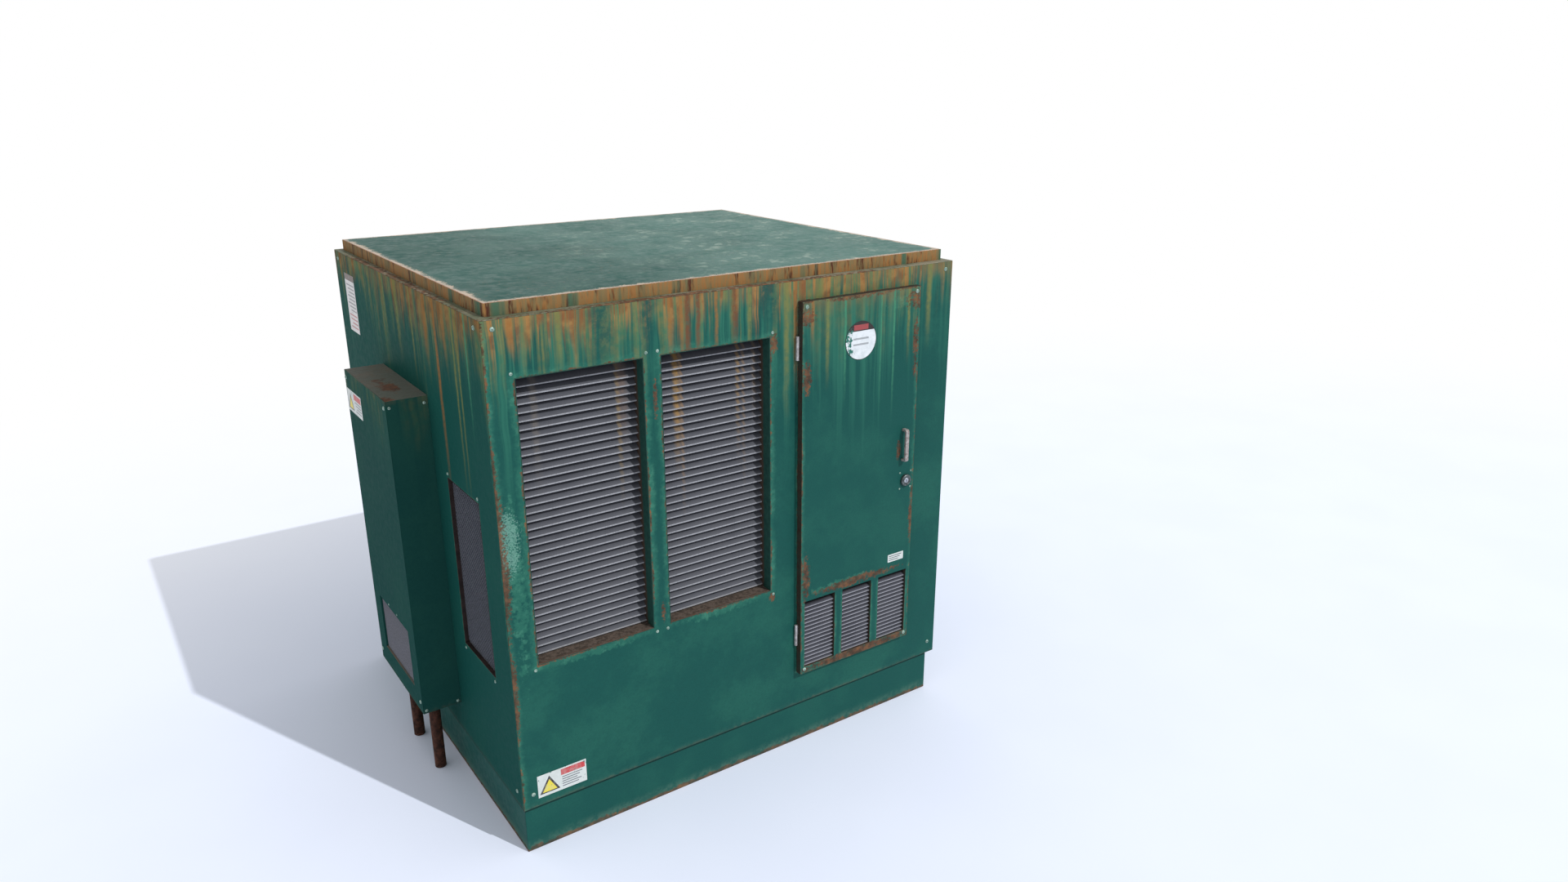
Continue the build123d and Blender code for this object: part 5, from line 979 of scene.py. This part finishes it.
grid_panel("front_panel_sheet", "front_panel", 1, LOUVRES + [GASKET], front_look)
grid_panel("left_panel_sheet", "left_panel", 0, [VENT], side_look)
grid_panel("rear_panel_sheet", "rear_panel", 1, [], plain_side_look)
grid_panel("right_panel_sheet", "right_panel", 0, [], plain_side_look)
grid_panel("roof_deck_sheet", "roof_deck", 2, [], deck_look)
softened("roof_sheet", "roof_cap", "root", roof_look, width=0.5, angle=60)
softened("plinth_front_back", "plinth_long_beams", "root", plinth_look, 1.5)
softened("plinth_ends", "plinth_end_beams", "root", plinth_look, 1.5)
for side in ("left", "right"):
    softened(f"louvre_liner_{side}", f"louvre_frame_{side}", "root", liner_look, 0.6)
softened("vent_liner", "vent_frame", "root", vent_liner_look, 0.6)


def blade_mesh(length, depth, rise, lip, sheet):
    """One blade from x = 0: a rounded upright lip, then a slope up to the inside, with a turned back edge."""
    outline = [(0, 0), (0, lip * 0.85), (depth * 0.03, lip), (depth * 0.5, lip + rise * 0.48), (depth, lip + rise),
               (depth, lip + rise - sheet * 1.4), (depth * 0.5 + sheet * 0.3, lip + rise * 0.48 - sheet * 1.3),
               (sheet, lip - sheet * 0.4), (sheet, 0)]
    bm = bmesh.new()
    ends = [[bm.verts.new((x, y, z)) for y, z in outline] for x in (0, length)]
    skin(bm, ends)
    for end in ends:
        bm.faces.new(end)
    bmesh.ops.recalc_face_normals(bm, faces=bm.faces)
    mesh = mesh_from(bm, "blade")
    mesh.shade_smooth()
    mesh.set_sharp_from_angle(angle=math.radians(25))
    return mesh


def blade_bank(name, node, look, tilt, body):
    """A bank of blades where the CAD node has them, grown by the row tree."""
    found = islands(node)
    banks = []
    for x in sorted({round(low.x, 4) for low, _, _ in found}):
        rows = sorted((f for f in found if abs(f[0].x - x) < MM), key=lambda f: f[0].z)
        low, high, _ = rows[0]
        pitch = (rows[-1][0].z - rows[0][0].z) / (len(rows) - 1)
        rise, depth = high.z - low.z, high.y - low.y
        lip = 0.005 if depth > 0.02 else 0.003
        blade = blade_mesh(high.x - low.x, depth, rise - lip, lip, 0.0015)
        banks.append(grown(name, ROW, blade, {
            "Count": len(rows), "Start": (low.x, low.y, low.z), "Step": (0, 0, pitch), "Tilt": (tilt, 0, 0),
            "Seed": len(banks) + 4, "Material": look}))
    return placed(joined_pieces(name, banks), [node], body, look)


blade_bank("louvre_bank_left", "louvre_blades_left", blade_look, 0.006, "root")
blade_bank("louvre_bank_right", "louvre_blades_right", blade_look, 0.006, "root")
blade_bank("door_louvre_bank", "door_blades", door_blade_look, 0.004, "door")


def wire_mesh(radius):
    """A five-sided wire of length 1 along +X."""
    mesh = lathe([(radius, 0), (radius, 1)], 5)
    mesh.transform(Matrix.Rotation(math.pi / 2, 4, "Y"))
    return mesh


def woven(name, node, look, pitch, radius):
    """Diagonal wires in place of a plain sheet that faces along X."""
    low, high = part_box(node)
    width, height = high.y - low.y, high.z - low.z
    obj = grown(name, WEAVE, wire_mesh(radius), {
        "Width": width, "Height": height, "Pitch": pitch, "Layer Gap": radius * 1.2, "Material": look})
    obj.data.transform(Matrix(((0, 0, -1, (low.x + high.x) / 2), (1, 0, 0, low.y), (0, 1, 0, low.z), (0, 0, 0, 1))))
    return placed(obj, [node], "root", look)


woven("vent_wires", "vent_mesh", mesh_look, 0.0112, 0.0011)
woven("grille_wires", "cabinet_grille", grille_look, 0.0055, 0.0008)

screw_set("panel_screw_heads", "panel_screws", "root", screw_look)
screw_set("louvre_screw_heads", "louvre_screws", "root", screw_look)
screw_set("cabinet_screw_heads", "cabinet_screws", "root", screw_look)
screw_set("door_screw_heads", "door_screws", "door", screw_look)
bpy.data.objects.remove(SCREW)

# ---- Side cabinet -----------------------------------------------------------------------------------------

for name, node in (("cabinet_box", "side_cabinet_shell"), ("cabinet_front", "side_cabinet_cover")):
    box = softened(name, node, "root", [cabinet_look, cabinet_top_look], 1.0, shortest=HOLE_EDGE)
    for face in box.data.polygons:
        face.material_index = int(face.normal.z > 0.5)
conduits = []
for low, high, _ in islands("conduits"):
    radius = (high.x - low.x) / 2
    rib = lathe([(radius - 0.0025, 0), (radius - 0.0002, 0.0016), (radius - 0.0002, 0.0034), (radius - 0.0025, 0.005)], 28)
    count = int((high.z - low.z) / 0.0055)
    conduits.append(grown("conduit", ROW, rib, {
        "Count": count, "Start": ((low.x + high.x) / 2, (low.y + high.y) / 2, low.z),
        "Step": (0, 0, (high.z - low.z - 0.005) / (count - 1)), "Tilt": (0, 0, 0), "Seed": 2, "Material": conduit_look}))
placed(joined_pieces("conduit_ribs", conduits), ["conduits"], "root", conduit_look)
softened("locknuts", "conduit_locknuts", "root", steel_look, 0.8)
softened("riser_cables", "supply_cables", "root", cable_look, 1.5)

# ---- Door --------------------------------------------------------------------------------------------------

door = softened("door_sheet", "door_skin", "door", [door_look, door_edge_look, door_inner_look], 1.2,
                shortest=HOLE_EDGE)
for face in door.data.polygons:
    if face.normal.y > 0.5:
        face.material_index = 2
    elif face.normal.y > -0.5 or face.center.y > DOOR[0].y + 0.004:
        face.material_index = 1
softened("handle", "pull_handle", "door", handle_look, 1.6, 3)
softened("lock_body", "lock_housing", "door", rosette_and_shade_look, 0.5, 2, 40)
softened("lock_core_disc", "lock_cylinder", "lock_core", chrome_look, 0.25, 2, 40)
softened("lock_case_box", "lock_case", "door", steel_look, 0.6)
softened("bolt_bar", "lock_bolt", "bolt", steel_look, 0.3, 1)
softened("door_rails", "door_stiffeners", "door", steel_look, 1.0)
softened("hinge_upper_knuckles", "hinge_barrels", "door", hinge_look, 0.7, 2, 40)
softened("hinge_lower_knuckles", "hinge_sockets", "root", hinge_look, 0.7, 2, 40)
softened("hinge_pin_bars", "hinge_pins", "root", hinge_look, 0.5, 1, 40)
softened("gasket_strip", "door_gasket", "root", gasket_look, 0.8)

# ---- Signs -------------------------------------------------------------------------------------------------

softened("front_sign", "front_label", "root", front_label_look, 0.3)
softened("side_sign", "side_label", "root", side_label_look, 0.3)
softened("cabinet_sign", "cabinet_label", "root", cabinet_label_look, 0.3)
disc = max(islands("door_signs"), key=lambda f: f[1].z)
plate = min(islands("door_signs"), key=lambda f: f[1].z)
centre = (disc[0] + disc[1]) / 2


def disc_surface(name):
    """The round sign: white, with a dark top segment, a red bar and chips that show green."""
    made, t, shader, position = material(name)
    x, y, z = t.split(position)
    away = t.vector("SUBTRACT", position, tuple(centre))
    radius = t.vector("LENGTH", t.vector("MULTIPLY", away, (1, 0, 1)))
    rise = t.less(z, centre.z)
    dark = t.smooth(rise, 0.0395, 0.0405)
    rim = t.smooth(radius, 0.0785, 0.0795)
    beside = t.less(x, centre.x)
    bar = t.times(t.within(t.less(rise, 0.0555), 0.011, 0.0005), t.within(beside, 0.0375, 0.0005))
    fade = t.noise(position, 30.0, 5.0, 0.7)
    white = t.mix(t.smooth(fade, 0.4, 0.7, 0.0, 0.6), tone(214, 220, 224), tone(180, 190, 194))
    colour = t.mix(dark, white, tone(46, 40, 40))
    colour = t.mix(t.times(bar, 0.85), colour, tone(160, 72, 74))
    bars = t.times(t.within(beside, 0.0405, 0.0005),
                   t.within(t.less(t.size(t.add(rise, 0.004)), 0.012), 0.004, 0.0005))
    colour = t.mix(t.times(bars, 0.6), colour, tone(96, 100, 104))
    left = t.smooth(beside, -0.08, -0.02, 1.0, 0.0)
    chipped = t.smooth(t.blend(left, 0.2, t.noise(position, 46.0, 5.0, 0.7)), 0.62, 0.66)
    colour = t.mix(chipped, colour, tone(42, 104, 92))
    colour = t.mix(rim, colour, tone(38, 44, 44))
    finish_surface(t, shader, 0.3, colour, t.smooth(fade, 0.3, 0.7, 0.32, 0.5),
                   t.bump(t.less(1.0, chipped), 0.5, 0.0006))
    return made


disc_look = disc_surface("round_sign_print")
low, high = plate[0], plate[1]
plate_look = sign_surface("door_plate_print", ACROSS_X,
                          rules(low.x + 0.006, high.x - 0.004, high.z - 0.004, low.z + 0.004, 3, tone(70, 74, 80)), wear=0.1)
signs = softened("door_sign_plates", "door_signs", "door", [disc_look, plate_look], 0.3)
for face in signs.data.polygons:
    face.material_index = 0 if face.center.z > 1.2 else 1

# ---- Inside ------------------------------------------------------------------------------------------------

INSIDE = [
    ("floor_sheet", "floor_plate", "galvanised_steel", steel_look, 1.0), ("posts", "frame_posts", "galvanised_steel", steel_look, 1.0),
    ("rails", "top_rails", "galvanised_steel", steel_look, 1.0), ("backplate", "cabinet_backplate", "galvanised_steel", steel_look, 1.0),
    ("terminals", "terminal_blocks", "terminal_plastic", terminal_look, 1.2), ("partition", "partition_wall", "galvanised_steel", steel_look, 0.8),
    ("gear_sheet", "gear_plate", "galvanised_steel", steel_look, 1.2), ("breaker_case", "breaker_body", "breaker_plastic", breaker_look, 1.5),
    ("busbars", "lv_busbars", "copper", copper_look, 1.0), ("links", "lv_links", "copper", copper_look, 1.0),
    ("earth", "earth_bar", "copper", copper_look, 1.0), ("insulators", "busbar_insulators", "insulator_red", insulator_look, 2.0),
    ("bushings", "hv_bushings", "bushing_glaze", bushing_look, 3.0), ("core_stack", "core", "core_steel", core_look, 2.0),
    ("clamps", "core_clamps", "galvanised_steel", steel_look, 1.5), ("core_feet", "core_rails", "galvanised_steel", steel_look, 1.5),
    ("outer_windings", "hv_windings", "winding_resin", resin_look, 6.0), ("inner_windings", "lv_windings", "winding_foil", foil_look, 2.0),
    ("blocks", "winding_blocks", "pressboard", board_look, 2.0),
]
for name, node, slot, look, width in INSIDE:
    softened(name, node, "root", look, width)
softened("toggle_lever", "breaker_toggle", "toggle", toggle_look, 1.5)

# ---- Light, floor and camera -----------------------------------------------------------------------------------

scene = bpy.context.scene
scene.view_settings.view_transform = "Standard"
world = bpy.data.worlds.new("studio")
scene.world = world
world.use_nodes = True
t = Tree(world.node_tree)
world.node_tree.nodes.clear()
seen = t.put("ShaderNodeLightPath").outputs["Is Camera Ray"]
soft = t.put("ShaderNodeBackground", {"Color": (1, 1, 1, 1), "Strength": 0.72})
white = t.put("ShaderNodeBackground", {"Color": (1, 1, 1, 1), "Strength": 1.0})
mixed = t.put("ShaderNodeMixShader", {0: seen, 1: soft.outputs[0], 2: white.outputs[0]})
t.put("ShaderNodeOutputWorld", {0: mixed.outputs[0]})

sun = bpy.data.lights.new("sun", "SUN")
sun.energy, sun.angle, sun.color = 2.1, math.radians(0.6), (1.0, 0.995, 0.985)
sun_object = bpy.data.objects.new("sun", sun)
sun_object.rotation_euler = Vector((0.292, -0.663, 0.689)).to_track_quat("Z", "Y").to_euler()
scene.collection.objects.link(sun_object)

FLOOR_REACH = 30.0
mesh = bpy.data.meshes.new("floor")
mesh.from_pydata([(x, y, -0.0005) for x, y in ((-FLOOR_REACH, -FLOOR_REACH), (FLOOR_REACH, -FLOOR_REACH),
                                              (FLOOR_REACH, FLOOR_REACH), (-FLOOR_REACH, FLOOR_REACH))], [], [(0, 1, 2, 3)])
floor = add_object("floor", mesh)
floor_look, t, shader, position = material("studio_floor")
cloud = t.noise(position, 1.2, 2.0)
finish_surface(t, shader, 0.1, t.mix(t.smooth(cloud, 0.3, 0.7), (0.785, 0.84, 0.99, 1), (0.8, 0.855, 1.0, 1)),
               t.smooth(cloud, 0.3, 0.7, 0.7, 0.8),
               t.bump(t.noise(position, 400.0), 0.05, 0.0005))
far = t.vector("ADD", position, (-0.9, 3.4, 0))
distance = t.vector("LENGTH", far)
glow = t.put("ShaderNodeEmission", {"Color": (1, 1, 1, 1), "Strength": 1.0})
blend = t.put("ShaderNodeMixShader", {0: t.smooth(distance, 4.5, 11.0), 1: shader.outputs[0], 2: glow.outputs[0]})
output = floor_look.node_tree.nodes["Material Output"]
t.tree.links.new(blend.outputs[0], output.inputs[0])
mesh.materials.append(floor_look)

camera = bpy.data.cameras.new("camera")
camera.lens, camera.sensor_width = 24.405, 36
camera.clip_end = 200
camera_object = bpy.data.objects.new("camera", camera)
camera_object.location = (-2.19830, -4.24326, 2.83374)
camera_object.rotation_euler = Euler([math.radians(a) for a in (71.13303, -0.05934, -35.36937)])
scene.collection.objects.link(camera_object)
scene.camera = camera_object
